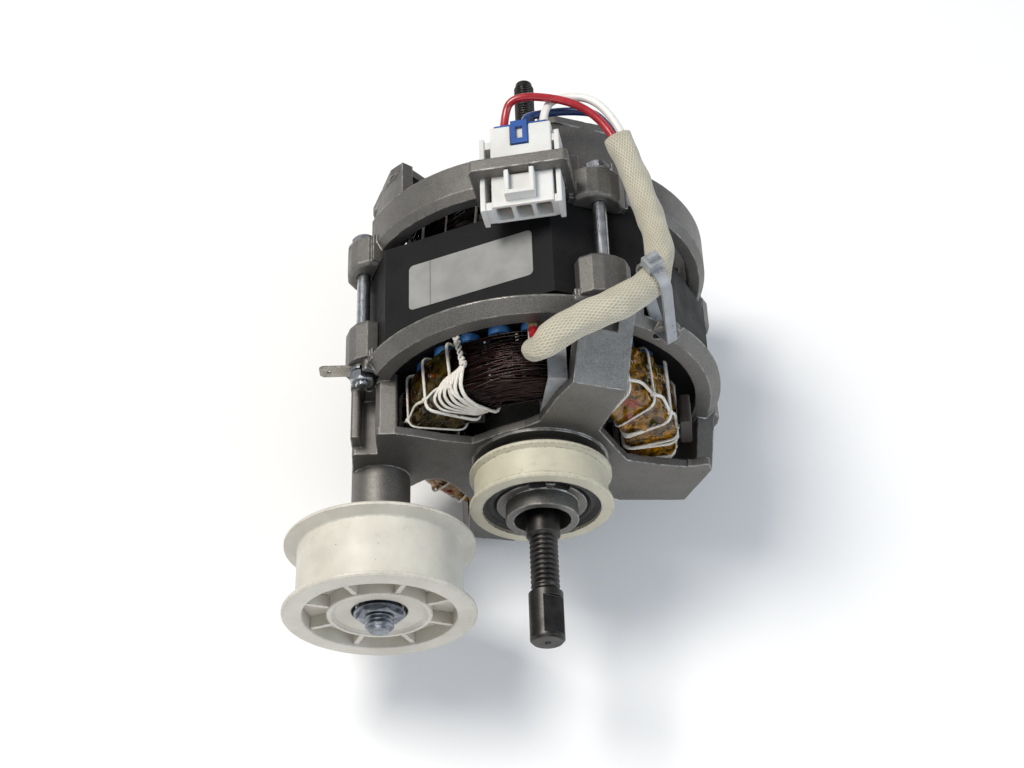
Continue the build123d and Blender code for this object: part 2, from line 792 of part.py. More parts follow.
SPIDER = [
    (10.1, 52.8),
    (4.8, 42.6),
    (-0.6, 28.2),
    (-5.5, 24.6),
    (-14.5, 20.2),
    (-23.5, 14.0),
    (-33.9, 16.6),
    (-42.2, 19.9),
    (-50.3, 22.4),
    (-56.6, 22.4),
    (-57.0, 8.0),
    (-66.0, 6.0),
    (-67.0, -8.5),
    (-60.0, -19.4),
    (-51.5, -18.6),
    (-47.6, -16.7),
    (-41.3, -11.0),
    (-35.5, -10.6),
    (-30.6, -16.2),
    (-25.4, -26.4),
    (-26.6, -57.4),
    (-9.0, -61.8),
    (5.5, -24.4),
    (18.5, -22.5),
    (29.8, -30.4),
    (54.0, -31.7),
    (61.7, -9.0),
    (60.6, -4.6),
    (53.4, -6.6),
    (41.4, -4.1),
    (31.1, -0.6),
    (27.8, 5.6),
    (20.2, 21.0),
    (28.4, 46.7),
]


def radial_wall(angle, v_0, v_1, profile):
    """Wall of a spoke: (radius, y) profile along one angle, extruded across it."""
    a = radians(angle)
    plane = Plane(origin=(0, 0, 0), x_dir=(cos(a), 0, sin(a)), z_dir=(-sin(a), 0, cos(a)))
    return plane * Pos(0, 0, v_0) * extrude(outline(profile), v_1 - v_0)


def ear(angle, y_0, y_1, round_end):
    """Block outside the stack's chamfer that carries one through bolt."""
    a = radians(angle)
    upper = [(EAR_INNER_R, EAR_HALF), (EAR_R - 4.6, EAR_HALF), (EAR_R - 1.2, 6.2), (EAR_R, 2.4)]
    points = [(x, -y) for x, y in upper] + list(reversed(upper))
    block = prism(points, y_0, y_1, angle)
    end_y = y_1 if round_end > 0 else y_0
    far = []
    for edge in block.edges():
        middle = edge.center()
        outward = middle.X * cos(a) + middle.Z * sin(a)
        if abs(middle.Y - end_y) < 0.01 and outward > EAR_INNER_R + 1:
            far.append(edge)
    return fillet(far, 1.6)


rim_inner = RIM_R - 9.4
rim_profile = [
    (rim_inner, RIM_FRONT),
    (RIM_R - 3.9, RIM_FRONT),
    (RIM_R, RIM_BACK - 0.4),
    (RIM_R, RIM_BACK),
    (rim_inner + 0.7, RIM_BACK),
    (rim_inner, RIM_BACK - 1.5),
]
hub_flare = [
    (HUB_BORE_R, 5.0),
    (HUB_R, 5.0),
    (HUB_R + 0.9, 9.2),
    (HUB_R + 4.7, PLATE_FRONT),
    (HUB_BORE_R, PLATE_FRONT),
]
front_pieces = [
    prism(SPIDER, PLATE_FRONT, PLATE_BACK, 0.0, 1.6),
    turned(rim_profile),
    tube(HUB_PLATE_R, HUB_BORE_R, PLATE_FRONT - 1.0, PLATE_BACK),
    turned(hub_flare),
    tube(BOSS_R, HUB_BORE_R, PLATE_FRONT, FRONT_BEARING_Y + MOTOR_BEARING[2] + 0.5),
    tube(HUB_R, HUB_BORE_R, HUB_FRONT, PLATE_FRONT),
    tube(NOSE_R, HUB_BORE_R, HUB_FRONT - NOSE_LENGTH, HUB_FRONT),
]

top_angle, left_angle, low_angle, right_angle = BOLT_ANGLES
wall_out = RIM_R - 0.6
wall_step = RIM_R - 8.2
top_wall = [
    (RIM_R - 12.9, PLATE_FRONT),
    (RIM_R - 3.0, RIM_FRONT + 0.5),
    (wall_out, RIM_BACK - 0.3),
    (wall_out, STACK_FRONT + 0.6),
    (EAR_INNER_R, STACK_FRONT + 0.6),
    (EAR_INNER_R, STACK_FRONT),
    (wall_step, STACK_FRONT),
    (wall_step, RIM_BACK - 1.8),
    (RIM_R - 17.6, PLATE_BACK),
    (RIM_R - 22.2, PLATE_BACK),
    (RIM_R - 22.2, PLATE_FRONT),
]
front_pieces.append(radial_wall(top_angle, -11.0, 8.3, top_wall))
side_wall = [
    (RIM_R - 4.9, PLATE_FRONT),
    (RIM_R - 1.8, RIM_FRONT + 0.5),
    (wall_out, RIM_BACK - 0.3),
    (wall_out, STACK_FRONT),
    (wall_step + 0.5, STACK_FRONT),
    (wall_step, RIM_BACK - 1.8),
    (RIM_R - 10.6, PLATE_BACK),
    (RIM_R - 14.2, PLATE_BACK),
    (RIM_R - 14.2, PLATE_FRONT),
]
front_pieces.append(radial_wall(right_angle, -11.7, 12.3, side_wall))
front_pieces.append(radial_wall(low_angle, -8.0, 12.3, side_wall))

left_wall = [
    (-49.2, 22.4),
    (-55.4, 22.4),
    (-57.0, 20.0),
    (-57.0, -19.0),
    (-50.0, -17.6),
    (-50.8, -10.0),
    (-51.3, 0.0),
    (-50.6, 10.0),
]
left_back = RIM_BACK - 2.3
front_pieces.append(prism(left_wall, PLATE_FRONT, left_back, 0.0, 0.7))
front_pieces.append(box(-66.0, -56.0, -19.0, 8.6, PLATE_FRONT, left_back, 0.0, 1.5))
front_pieces.append(box(-66.0, -62.6, -10.0, 15.5, PLATE_BACK, STACK_FRONT - 1.0, 0.0, 1.2))
front_pieces.append(rod(POST_R, POST_FRONT, PLATE_BACK + 0.5, IDLER_X, IDLER_Z))
left_land = [(-66.0, 6.0), (-66.2, 15.0), (-64.0, 24.0), (-60.0, 29.5), (-54.0, 26.0), (-52.0, 8.0)]
front_pieces.append(prism(left_land, RIM_FRONT + 1.0, RIM_BACK, 0.0, 1.0))

for angle in BOLT_ANGLES:
    front_pieces.append(ear(angle, EAR_FRONT, EAR_FRONT + EAR_DEPTH, 1))
    front_pieces.append(sector(RIM_R - 0.2, rim_inner + 0.8, angle, 9.5, RIM_BACK - 1.5, STACK_FRONT))

tie_land = RIM_BACK - 1.7
front_pieces.append(rod(5.2, RIM_FRONT + 0.5, tie_land, TIE_X + 0.4, TIE_Z - 0.2))

front = join(front_pieces)

STUD_HOLE_END = 1.0
BOLT_HOLE_R = BOLT_R + BOLT_PLAY
pocket_in = BOLT_CIRCLE_R - 5.1
pocket_half = 5.6
pocket = [(pocket_in, -pocket_half), (80.0, -pocket_half), (80.0, pocket_half), (pocket_in, pocket_half)]
front_cuts = [
    rod(MOTOR_BEARING[1], FRONT_BEARING_Y, FRONT_BEARING_Y + MOTOR_BEARING[2] + 1.5),
    rod(HUB_BORE_R, HUB_FRONT - NOSE_LENGTH - 1, FRONT_BEARING_Y + 1),
    rod(STUD_R, POST_FRONT - 1, STUD_HOLE_END, IDLER_X, IDLER_Z),
    prism(STACK_OUTLINE, STACK_FRONT, STACK_BACK, STATOR_ROLL),
]
for angle, (bx, bz) in zip(BOLT_ANGLES, BOLT_POINTS):
    front_cuts.append(rod(BOLT_HOLE_R, RIM_FRONT - 4, EAR_FRONT + EAR_DEPTH + 6, bx, bz))
    front_cuts.append(prism(pocket, RIM_FRONT - 4, EAR_FRONT, angle, 1.5))
for angle in (97, 63):
    notch = [(NOSE_R + 0.2, -3.0), (HUB_R + 1.7, -3.0), (HUB_R + 1.7, 3.0), (NOSE_R + 0.2, 3.0)]
    front_cuts.append(prism(notch, HUB_FRONT - 0.5, 3.0, angle))
tie_slot = box(TIE_X - 3.9, TIE_X + 3.6, TIE_Z - 1.8, TIE_Z + 1.2, RIM_FRONT - 3.5, STACK_FRONT - 1, 0.0, 1.0)
front_cuts.append(tie_slot)
front_cuts.append(box(TIE_X - 7.2, TIE_X + 9.8, TIE_Z - 2.2, 60.0, tie_land, STACK_FRONT - 0.1))
front = cut(front, front_cuts)
save("front_bracket", front)


# Rear bracket

rear_rim_r = RIM_R - 1.5
rear_rim_inner = RIM_R - 7.7
rim_full = REAR_RIM + 3.0
rim_end = REAR_RIM + REAR_RIM_DEPTH
rear_plate_back = REAR_PLATE + WALL
rear_nose = REAR_RING_Y - HUB_FRONT
rim_lip = [
    (rear_rim_inner, REAR_RIM),
    (RIM_R - 3.6, REAR_RIM),
    (rear_rim_r, rim_full),
    (rear_rim_inner, rim_full),
]
rear_flare = [
    (HUB_BORE_R, rear_plate_back),
    (HUB_R + 4.7, rear_plate_back),
    (HUB_R + 0.4, rear_plate_back + 1.8),
    (HUB_BORE_R, rear_plate_back + 1.8),
]
rear_pieces = [
    tube(rear_rim_r, rear_rim_inner, rim_full, rim_end),
    turned(rim_lip),
    tube(HUB_PLATE_R, HUB_BORE_R, REAR_PLATE, rear_plate_back),
    tube(BOSS_R, HUB_BORE_R, REAR_BEARING_Y - 0.5, REAR_PLATE + 1),
    tube(HUB_R, HUB_BORE_R, REAR_PLATE, rear_nose),
    tube(NOSE_R, HUB_BORE_R, rear_nose, rear_nose + NOSE_LENGTH),
    turned(rear_flare),
]
drum_r = RIM_R - 7.0
spoke_side = [(20.0, 13.0), (RIM_R - 20.2, 11.5), (drum_r - 2.7, 17.5), (drum_r, 12.0)]
spoke = [(x, -y) for x, y in spoke_side] + list(reversed(spoke_side))
for angle in BOLT_ANGLES:
    rear_pieces.append(prism(spoke, REAR_PLATE, rear_plate_back, angle, 1.5))
    rear_pieces.append(sector(drum_r, drum_r - 4.6, angle, 17.5, rim_end - 3, rear_plate_back))
    rear_pieces.append(sector(drum_r + 1.3, drum_r - 3.4, angle, 17.5, REAR_RIM + 2.0, rim_end))
    rear_pieces.append(ear(angle, STACK_BACK - 1.0, REAR_EAR_BACK, -1))
    rear_pieces.append(sector(RIM_R - 0.2, rim_inner + 0.8, angle, 9.5, STACK_BACK, REAR_EAR_BACK))

clip_front = REAR_RIM - 3.5
clip_low = CONNECTOR_HEIGHT - 6.6
clip_high = CONNECTOR_HEIGHT + 4.9
clip_left = CHANNELS[0] - 8.1
clip_right = CHANNELS[-1] + 6.9
frame_left = clip_left - 2.7
frame_right = clip_right + 2.7
frame_low = clip_low - 7.9
frame_high = clip_high + 4.6
frame_outer = [
    (frame_left, frame_low),
    (frame_right, frame_low),
    (frame_right, frame_high),
    (frame_left, frame_high),
]
clip_opening = [
    (clip_left, clip_low),
    (clip_right, clip_low),
    (clip_right, clip_high),
    (clip_left, clip_high),
]
rear_pieces.append(prism(frame_outer, clip_front, clip_front + 4.5, CONNECTOR_ROLL, 1.6))
rear = join(rear_pieces)
BOLT_HEAD_ROOM_R = 6.4
rear_cuts = [
    prism(clip_opening, clip_front - 10, clip_front + 7.5, CONNECTOR_ROLL, 1.0),
    rod(MOTOR_BEARING[1], REAR_BEARING_Y - 1, REAR_PLATE),
    rod(HUB_BORE_R, REAR_PLATE - 1, rear_nose + NOSE_LENGTH + 1),
    prism(STACK_OUTLINE, STACK_FRONT, STACK_BACK, STATOR_ROLL),
]
for bx, bz in BOLT_POINTS:
    rear_cuts.append(rod(BOLT_HOLE_R, STACK_BACK - 9, REAR_EAR_BACK + 10, bx, bz))
    rear_cuts.append(rod(BOLT_HEAD_ROOM_R, REAR_EAR_BACK, rear_plate_back + 5, bx, bz))
rear = cut(rear, rear_cuts)
save("rear_bracket", rear)


# Through bolts, nuts and the earth tab

TAB_THICK = 0.8
WASHER_THICK = 1.0
TAB_HALF = 3.15
TAB_LENGTH = 14.94
NUT_FLATS = 8.0
NUT_HEIGHT = 4.0
BOLT_FRONT = EAR_FRONT - 7.0
THREAD_END = BOLT_FRONT + 17.5
tab_front = EAR_FRONT - TAB_THICK
washer_front = tab_front - WASHER_THICK
bolts = []
nuts = []
for k, (bx, bz) in enumerate(BOLT_POINTS):
    shank = rod(BOLT_R, THREAD_END, REAR_EAR_BACK, bx, bz)
    thread = threaded(BOLT_R, BOLT_PITCH, BOLT_FRONT, THREAD_END, bx, bz)
    flange_profile = [
        (0, REAR_EAR_BACK),
        (BOLT_R + 3.5, REAR_EAR_BACK),
        (BOLT_R + 3.5, REAR_EAR_BACK + 0.7),
        (BOLT_R + 2.0, REAR_EAR_BACK + 1.6),
        (0, REAR_EAR_BACK + 1.6),
    ]
    flange = turned(flange_profile, bx, bz)
    bolt_head = hexagon(NUT_FLATS, REAR_EAR_BACK + 1.2, REAR_EAR_BACK + 5.0, bx, bz, 25.0 + 17 * k)
    bolts.append(shank + thread + flange + bolt_head)
    back = washer_front if k == 1 else EAR_FRONT
    nut = hexagon(NUT_FLATS, back - NUT_HEIGHT, back, bx, bz, 11.0 + 23 * k)
    nuts.append(nut - rod(BOLT_R, BOLT_FRONT - 1, EAR_FRONT + 1, bx, bz))
save("through_bolts", Compound(children=bolts))
save("bolt_nuts", Compound(children=nuts))

tab_x, tab_z = BOLT_POINTS[1]
tab_tip = tab_x - TAB_LENGTH
tab_hole = BOLT_R + 0.1
blade = [
    (tab_x, tab_z - TAB_HALF),
    (tab_tip + 1.2, tab_z - TAB_HALF),
    (tab_tip, tab_z - 2.0),
    (tab_tip, tab_z + 2.0),
    (tab_tip + 1.2, tab_z + TAB_HALF),
    (tab_x, tab_z + TAB_HALF),
]
tab = rod(NUT_FLATS / 2 + 0.8, tab_front, EAR_FRONT, tab_x, tab_z)
tab += prism(blade, tab_front, EAR_FRONT)
tab -= rod(tab_hole, tab_front - 1, EAR_FRONT + 1, tab_x, tab_z)
tab -= rod(0.8, tab_front - 1, EAR_FRONT + 1, tab_tip + 3.4, tab_z)
save("earth_tab", tab)
washer = tube(NUT_FLATS / 2 + 0.6, tab_hole, washer_front, tab_front, tab_x, tab_z)
washer -= box(tab_x - 0.5, tab_x + 0.5, tab_z, tab_z + 6, washer_front - 1, tab_front + 1)
save("earth_washer", washer)


# Mount rings

def mount(prefix, y):
    """Hard ring on a rubber bush."""
    ring = [
        (RING_INNER_R, y - RING_HALF),
        (RING_R - 0.5, y - RING_HALF),
        (RING_R, y - RING_HALF + 0.5),
        (RING_R, y - RING_HALF + 1.6),
        (RING_GROOVE_R, y - RING_HALF + 2.4),
        (RING_GROOVE_R, y + RING_HALF - 2.4),
        (RING_R, y + RING_HALF - 1.6),
        (RING_R, y + RING_HALF - 0.5),
        (RING_R - 0.5, y + RING_HALF),
        (RING_INNER_R, y + RING_HALF),
    ]
    save(prefix + "_mount_ring", turned(ring))
    bush = [
        (HUB_R, y - 4.0),
        (HUB_R + 1.4, y - 5.4),
        (RING_INNER_R - 1.2, y - 5.0),
        (RING_INNER_R, y - 5.9),
        (RING_INNER_R, y + 5.9),
        (RING_INNER_R - 1.2, y + 5.0),
        (HUB_R + 1.4, y + 5.0),
        (HUB_R, y + 4.5),
    ]
    save(prefix + "_mount_bush", turned(bush))


mount("front", 0.0)
mount("rear", REAR_RING_Y)


# Idler

idler_seat = IDLER_BEARING[1]
bearing_front = PULLEY_FRONT + 3.4
bearing_back = bearing_front + IDLER_BEARING[2]
web_front = bearing_front + 2.0
web_back = bearing_front + 4.6
hub_profile = [
    (idler_seat, bearing_back + 1.2),
    (idler_seat + 1.2, bearing_back + 1.2),
    (idler_seat + 3.0, bearing_back - 0.5),
    (idler_seat + 3.2, PULLEY_FRONT + 0.7),
    (idler_seat + 2.9, PULLEY_FRONT + 0.4),
    (idler_seat + 1.5, PULLEY_FRONT + 0.4),
    (idler_seat + 1.2, PULLEY_FRONT + 0.8),
    (idler_seat + 0.4, bearing_front - 1.9),
    (9.8, bearing_front - 1.3),
    (9.8, bearing_front - 0.2),
    (idler_seat - 1.4, bearing_front - 0.2),
    (idler_seat - 1.4, bearing_front),
    (idler_seat, bearing_front),
]
pulley_rim = [
    (PULLEY_INNER_R, PULLEY_FRONT + 0.3),
    (PULLEY_INNER_R + 0.3, PULLEY_FRONT),
    (PULLEY_FLANGE_R - 0.6, PULLEY_FRONT),
    (PULLEY_FLANGE_R, PULLEY_FRONT + 0.6),
    (PULLEY_FLANGE_R, PULLEY_FRONT + 1.5),
    (PULLEY_BELT_R + 0.4, PULLEY_FRONT + 3.0),
    (PULLEY_BELT_R, PULLEY_FRONT + 3.4),
    (PULLEY_BELT_R, PULLEY_BACK - 3.4),
    (PULLEY_BELT_R + 0.4, PULLEY_BACK - 3.0),
    (PULLEY_FLANGE_R, PULLEY_BACK - 1.5),
    (PULLEY_FLANGE_R, PULLEY_BACK - 0.6),
    (PULLEY_FLANGE_R - 0.6, PULLEY_BACK),
    (PULLEY_INNER_R + 0.3, PULLEY_BACK),
    (PULLEY_INNER_R, PULLEY_BACK - 0.3),
    (PULLEY_INNER_R - 0.3, web_back),
    (PULLEY_INNER_R - 0.3, web_front),
]
web_inner = idler_seat + 2.6
web = tube(PULLEY_INNER_R + 0.2, web_inner, web_front - 0.2, web_back, IDLER_X, IDLER_Z)
pulley_pieces = [turned(hub_profile, IDLER_X, IDLER_Z), turned(pulley_rim, IDLER_X, IDLER_Z), web]
pulley_axis = Pos(IDLER_X, 0, IDLER_Z)
rib_out = PULLEY_INNER_R + 0.1
for k in range(PULLEY_RIBS):
    angle = 360 / PULLEY_RIBS * (k + 0.5)
    for rib_in, rib_front, rib_back in (
        (web_inner, PULLEY_FRONT + 0.9, web_front + 0.4),
        (idler_seat + 2.0, web_back - 0.6, bearing_back + 0.2),
    ):
        rib = [
            (rib_in, -PULLEY_RIB_HALF),
            (rib_out, -PULLEY_RIB_HALF),
            (rib_out, PULLEY_RIB_HALF),
            (rib_in, PULLEY_RIB_HALF),
        ]
        pulley_pieces.append(pulley_axis * prism(rib, rib_front, rib_back, angle))
save("idler_pulley", join(pulley_pieces))

bearing("idler", IDLER_BEARING, bearing_front, IDLER_X, IDLER_Z)

spacer = [
    (STUD_R, bearing_back),
    (STUD_R + 1.9, bearing_back),
    (STUD_R + 2.9, bearing_back + 2.0),
    (STUD_R + 2.9, POST_FRONT),
    (STUD_R, POST_FRONT),
]
save("idler_spacer", turned(spacer, IDLER_X, IDLER_Z))

point_back = STUD_FRONT + 0.8
stud_end = [(0, STUD_FRONT), (STUD_R - 1.6, STUD_FRONT), (STUD_R - 0.8, point_back), (0, point_back)]
stud = rod(STUD_R, bearing_front, STUD_HOLE_END - 2.5, IDLER_X, IDLER_Z)
stud += threaded(STUD_R, STUD_PITCH, point_back, bearing_front, IDLER_X, IDLER_Z)
stud += turned(stud_end, IDLER_X, IDLER_Z)
save("idler_stud", stud)

collar = [
    (0, bearing_front),
    (STUD_R + 2.0, bearing_front),
    (STUD_R + 2.4, bearing_front - 0.6),
    (STUD_R + 3.9, bearing_front - 1.9),
    (STUD_R + 3.9, bearing_front - 2.5),
    (0, bearing_front - 2.5),
]
collar_nut = turned(collar, IDLER_X, IDLER_Z)
collar_nut += hexagon(2 * STUD_R + 4.4, bearing_front - 4.1, bearing_front - 1.2, IDLER_X, IDLER_Z, 8.0)
collar_nut -= rod(STUD_R, bearing_front - 6, bearing_front + 6, IDLER_X, IDLER_Z)
save("idler_nut", collar_nut)


# Connector

roll = CONNECTOR_ROLL
first, middle, last = CHANNELS
body_front = CONNECTOR_FRONT
body_back = body_front + 34.0
latch_front = body_front + 2.0
wing_back = body_back - 4.0
body_low = CONNECTOR_HEIGHT - 4.5
body_high = CONNECTOR_HEIGHT + 4.5
housing = box(first - 3.8, last + 3.8, body_low, body_high, body_front, body_back, roll, 0.7)
latch_back = latch_front + 10.1
latch = box(middle - 5.6, middle + 4.7, body_high - 0.5, body_high + 4.0, latch_front, latch_back, roll, 0.6)
latch_room = (body_high + 1.0, body_high + 5.0, latch_front + 1.6, latch_back + 1.9)
latch -= box(middle - 4.0, middle + 3.1, *latch_room, roll)
housing += latch
wings = [
    (first - 7.7, first - 5.9, first - 6.4, first - 3.3),
    (last + 4.7, last + 6.5, last + 3.3, last + 5.2),
]
for s_0, s_1, arm_0, arm_1 in wings:
    wing = box(s_0, s_1, body_low - 0.5, body_high - 0.2, body_front - 0.8, wing_back, roll, 0.5)
    arm_front = box(arm_0, arm_1, body_low + 0.5, body_high - 1.0, body_front - 0.2, body_front + 3.0, roll)
    arm_back = box(arm_0, arm_1, body_low + 0.5, body_high - 1.0, wing_back - 4.0, wing_back - 1.0, roll)
    housing = housing + wing + arm_front + arm_back
channel_low = CONNECTOR_HEIGHT - 2.5
channel_high = CONNECTOR_HEIGHT + 2.5
for s in CHANNELS:
    funnel = [
        (s - 2.7, channel_low - 0.8),
        (s + 2.7, channel_low - 0.8),
        (s + 2.7, channel_high + 1.0),
        (s - 2.7, channel_high + 1.0),
    ]
    housing -= prism(funnel, body_front - 1, body_front + 10, roll, 0.8)
    channel = (channel_low, channel_high, body_front + 9, body_back + 1)
    housing -= box(s - CHANNEL_HALF, s + CHANNEL_HALF, *channel, roll)
hook_front = body_back - 8.2
hook_room = (body_high - 0.8, body_high + 3.0, hook_front - 0.4, body_back + 1)
housing -= box(middle - 3.6, middle + 3.0, *hook_room, roll)
save("connector_housing", housing)

terminals = []
crimp_front = body_front + 20.0
for s in CHANNELS:
    half = CHANNEL_HALF - GAP
    blank = box(s - half, s + half, channel_low + GAP, channel_high - GAP, body_front + 4, crimp_front, roll)
    bore = (channel_low + 1.2, channel_high - 1.2, body_front + 3, body_front + 16)
    blank -= box(s - 1.5, s + 1.5, *bore, roll)
    crimp = across(crimp_front, roll) * Pos(s, CONNECTOR_HEIGHT, -1.0) * Cylinder(LEAD_R, 2.0)
    terminals.append(blank + crimp)
save("connector_terminals", Compound(children=terminals))

cap_back = body_back + 1.6
hook_left = middle - 3.2
hook_right = middle + 2.6
retainer = box(first - 2.6, last + 2.6, body_low + 1.0, body_high - 1.0, body_back, cap_back, roll, 0.6)
hook = box(hook_left, hook_right, body_high - 0.5, body_high + 0.7, hook_front, cap_back, roll)
hook -= box(middle - 1.5, middle + 0.9, body_high - 2.0, body_high + 2.0, hook_front + 2, body_back - 1, roll)
hook_root = box(hook_left, hook_right, body_high - 1.5, body_high + 0.7, body_back, cap_back, roll)
retainer = retainer + hook + hook_root
for s in CHANNELS:
    retainer -= across(body_back - 1, roll) * Pos(s, CONNECTOR_HEIGHT, -2.0) * Cylinder(LEAD_R + GAP, 4.0)
save("connector_retainer", retainer)


# Leads and their sleeve

SLEEVE_PATH = [
    (29.3, 99.3, 71.4),
    (36.3, 80.5, 67.0),
    (43.0, 47.0, 64.8),
    (27.5, 31.0, 72.0),
    (13.5, 26.0, 70.0),
    (4.5, 21.8, 67.6),
    (-0.2, 19.9, 62.6),
    (-0.9, 22.9, 57.2),
]
BEND_AT_TIE = 14.0
BEND_ELSEWHERE = 30.0
sleeve_radii = bends(SLEEVE_PATH, BEND_ELSEWHERE)
sleeve_radii[1] = BEND_AT_TIE
save("lead_sleeve", pipe("lead_sleeve", SLEEVE_PATH, sleeve_radii, SLEEVE_R, SLEEVE_BORE))

LEAD_LEVEL = 52.6
LEAD_END = 33.0
LEAD_BEND = 12.0
LAST_BEND = 7.0
SPLICE_LENGTH = 6.4
last_run = unit(add(SLEEVE_PATH[-1], SLEEVE_PATH[-2], -1))
turn_point = add(SLEEVE_PATH[-1], last_run, (LEAD_LEVEL - SLEEVE_PATH[-1][2]) / last_run[2])
LEAD_PATH = SLEEVE_PATH[:-1] + [turn_point, (turn_point[0], LEAD_END, LEAD_LEVEL)]
lead_radii = sleeve_radii + [LAST_BEND]

# Each lead: channel, corners on its way, how far back it meets the sleeve's line,
# and where it lies in the sleeve
LEADS = {
    "red": (0, [(-6.5, 116.5, 77.0)], 13.0, 30.0),
    "blue": (1, [(0.8, 112.8, 69.0), (13.5, 114.2, 69.2)], 11.0, 270.0),
    "white": (2, [(8.0, 118.0, 72.8)], 15.0, 150.0),
}
first_run = unit(add(SLEEVE_PATH[1], SLEEVE_PATH[0], -1))
side_way = unit(cross(first_run, (0, 0, 1)))
up_way = cross(side_way, first_run)
splices = []
for colour, (channel, crests, back, place) in LEADS.items():
    a = radians(place)
    aside = add(tuple(LEAD_SPREAD * cos(a) * c for c in side_way), up_way, LEAD_SPREAD * sin(a))
    inner, inner_radii = beside(LEAD_PATH, lead_radii, aside)
    s = CHANNELS[channel]
    x = s * cos(radians(roll)) - CONNECTOR_HEIGHT * sin(radians(roll))
    z = s * sin(radians(roll)) + CONNECTOR_HEIGHT * cos(radians(roll))
    way_in = [(x, crimp_front + 2.0, z), (x, body_back + 6.0, z)] + crests
    way_in.append(add(inner[0], first_run, -back))
    points = way_in + inner[1:]
    radii = bends(way_in + [inner[0]], LEAD_BEND) + inner_radii
    save("lead_" + colour, pipe("lead_" + colour, points, radii, LEAD_R))
    end_x, end_y, end_z = inner[-1]
    splice_end = end_y + SPLICE_LENGTH
    splice = [
        (0, end_y),
        (LEAD_R, end_y),
        (LEAD_R + 0.15, end_y + 0.4),
        (LEAD_R + 0.15, splice_end - 0.4),
        (LEAD_R - 0.25, splice_end),
        (0, splice_end),
    ]
    splices.append(turned(splice, end_x, end_z))
save("lead_splices", Compound(children=splices))

# Collar round the end turns where the leads go in

COLLAR = 0.55
collar_inner = BORE_R - 0.5
collar_outer = SLOT_BACK_R + 7.5
collar_far = FRONT_TURN_TOP - 2.55
collar_profile = [
    (collar_inner, STACK_FRONT - 5.0),
    (collar_inner, collar_far),
    (collar_outer, collar_far),
    (collar_outer, STACK_FRONT - 7.0),
    (collar_outer - COLLAR, STACK_FRONT - 7.0),
    (collar_outer - COLLAR, collar_far + COLLAR),
    (collar_inner + COLLAR, collar_far + COLLAR),
    (collar_inner + COLLAR, STACK_FRONT - 5.0),
]
save("exit_collar", radial_wall(84.0, -3.25, 3.25, collar_profile))

# Cable tie round the sleeve, through the slot in the rim

tie_along = (0.5426, -0.84, 0.0)
tie_across = (0.84, 0.5426, 0.0)
tie_origin = (TIE_X - 0.6, tie_land - 0.7, TIE_Z)
sleeve_line = FilletPolyline(*SLEEVE_PATH, radius=sleeve_radii)
nearest = min(
    (abs(dot(add(tuple(sleeve_line @ (k / 600)), tie_origin, -1), tie_across)), k / 600)
    for k in range(150, 420)
)
tie_arm = add(tuple(sleeve_line @ nearest[1]), tie_origin, -1)
hold = (dot(tie_arm, tie_along), tie_arm[2])
hold_r = SLEEVE_R + TIE_ROOM
print("cable tie round the sleeve at", round(hold[0], 2), round(hold[1], 2))
tie_plane = Plane(origin=tie_origin, x_dir=tie_along, z_dir=tuple(-c for c in tie_across))
inner_edges = [
    Pos(hold[0], hold[1], 0) * Edge.make_circle(hold_r),
    Pos(-1.1, 0.2, 0) * Edge.make_circle(0.6),
    Pos(4.3, 0.2, 0) * Edge.make_circle(0.6),
]
inner_face = make_hull(inner_edges)
outer_face = offset(inner_face, TIE_THICK)
band = extrude(outer_face - inner_face, TIE_WIDTH / 2, both=True)
tie_head = Pos(hold[0] - 2.0, hold[1] + hold_r + 1.8, 0) * Box(5.0, 3.8, TIE_WIDTH + 1.6)
tie_tail = Pos(hold[0] - 2.0, hold[1] + hold_r + 4.4, 0) * Box(1.2, 3.0, TIE_WIDTH)
save("cable_tie", tie_plane * (band + tie_head + tie_tail))
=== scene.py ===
"""Looks of the tumble-dryer induction motor: finishes, wound wire, lacing, film, leads and light.

Points and sizes are in millimetres up to the moment a mesh is made. The shaft lies along Y,
its working end points to -Y, X is to the right and Z is up.
"""

import math
import random

import bpy
import numpy as np
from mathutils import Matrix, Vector, noise


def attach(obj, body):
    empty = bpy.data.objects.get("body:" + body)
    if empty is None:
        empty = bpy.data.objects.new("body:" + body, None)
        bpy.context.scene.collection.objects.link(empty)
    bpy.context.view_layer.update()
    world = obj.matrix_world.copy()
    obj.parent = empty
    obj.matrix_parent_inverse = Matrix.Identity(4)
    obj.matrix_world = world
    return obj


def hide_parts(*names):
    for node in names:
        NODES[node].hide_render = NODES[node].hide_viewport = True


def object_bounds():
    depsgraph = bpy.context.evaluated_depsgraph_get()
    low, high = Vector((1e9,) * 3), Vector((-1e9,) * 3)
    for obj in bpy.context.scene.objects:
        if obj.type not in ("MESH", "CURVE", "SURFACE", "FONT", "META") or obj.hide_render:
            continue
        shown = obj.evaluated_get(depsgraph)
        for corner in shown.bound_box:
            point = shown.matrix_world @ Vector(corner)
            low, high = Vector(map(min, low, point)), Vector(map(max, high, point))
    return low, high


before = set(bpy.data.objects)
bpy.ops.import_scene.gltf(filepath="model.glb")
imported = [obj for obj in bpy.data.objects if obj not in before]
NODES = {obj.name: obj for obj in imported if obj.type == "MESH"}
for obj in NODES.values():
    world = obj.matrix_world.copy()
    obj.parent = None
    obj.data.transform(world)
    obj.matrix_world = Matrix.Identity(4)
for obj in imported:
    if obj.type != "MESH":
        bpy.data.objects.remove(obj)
cad_low, cad_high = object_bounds()
MM = 0.001
ROOT = "motor_frame"

# Camera, at the photograph's place
FOCAL_PX = 1712.07
IMAGE_WIDTH_PX = 1024
SENSOR = 36.0
CAMERA_AT = (-18.7, -283.4, 529.6)
CAMERA_ELEVATION = 58.21
CAMERA_AZIMUTH = -1.7

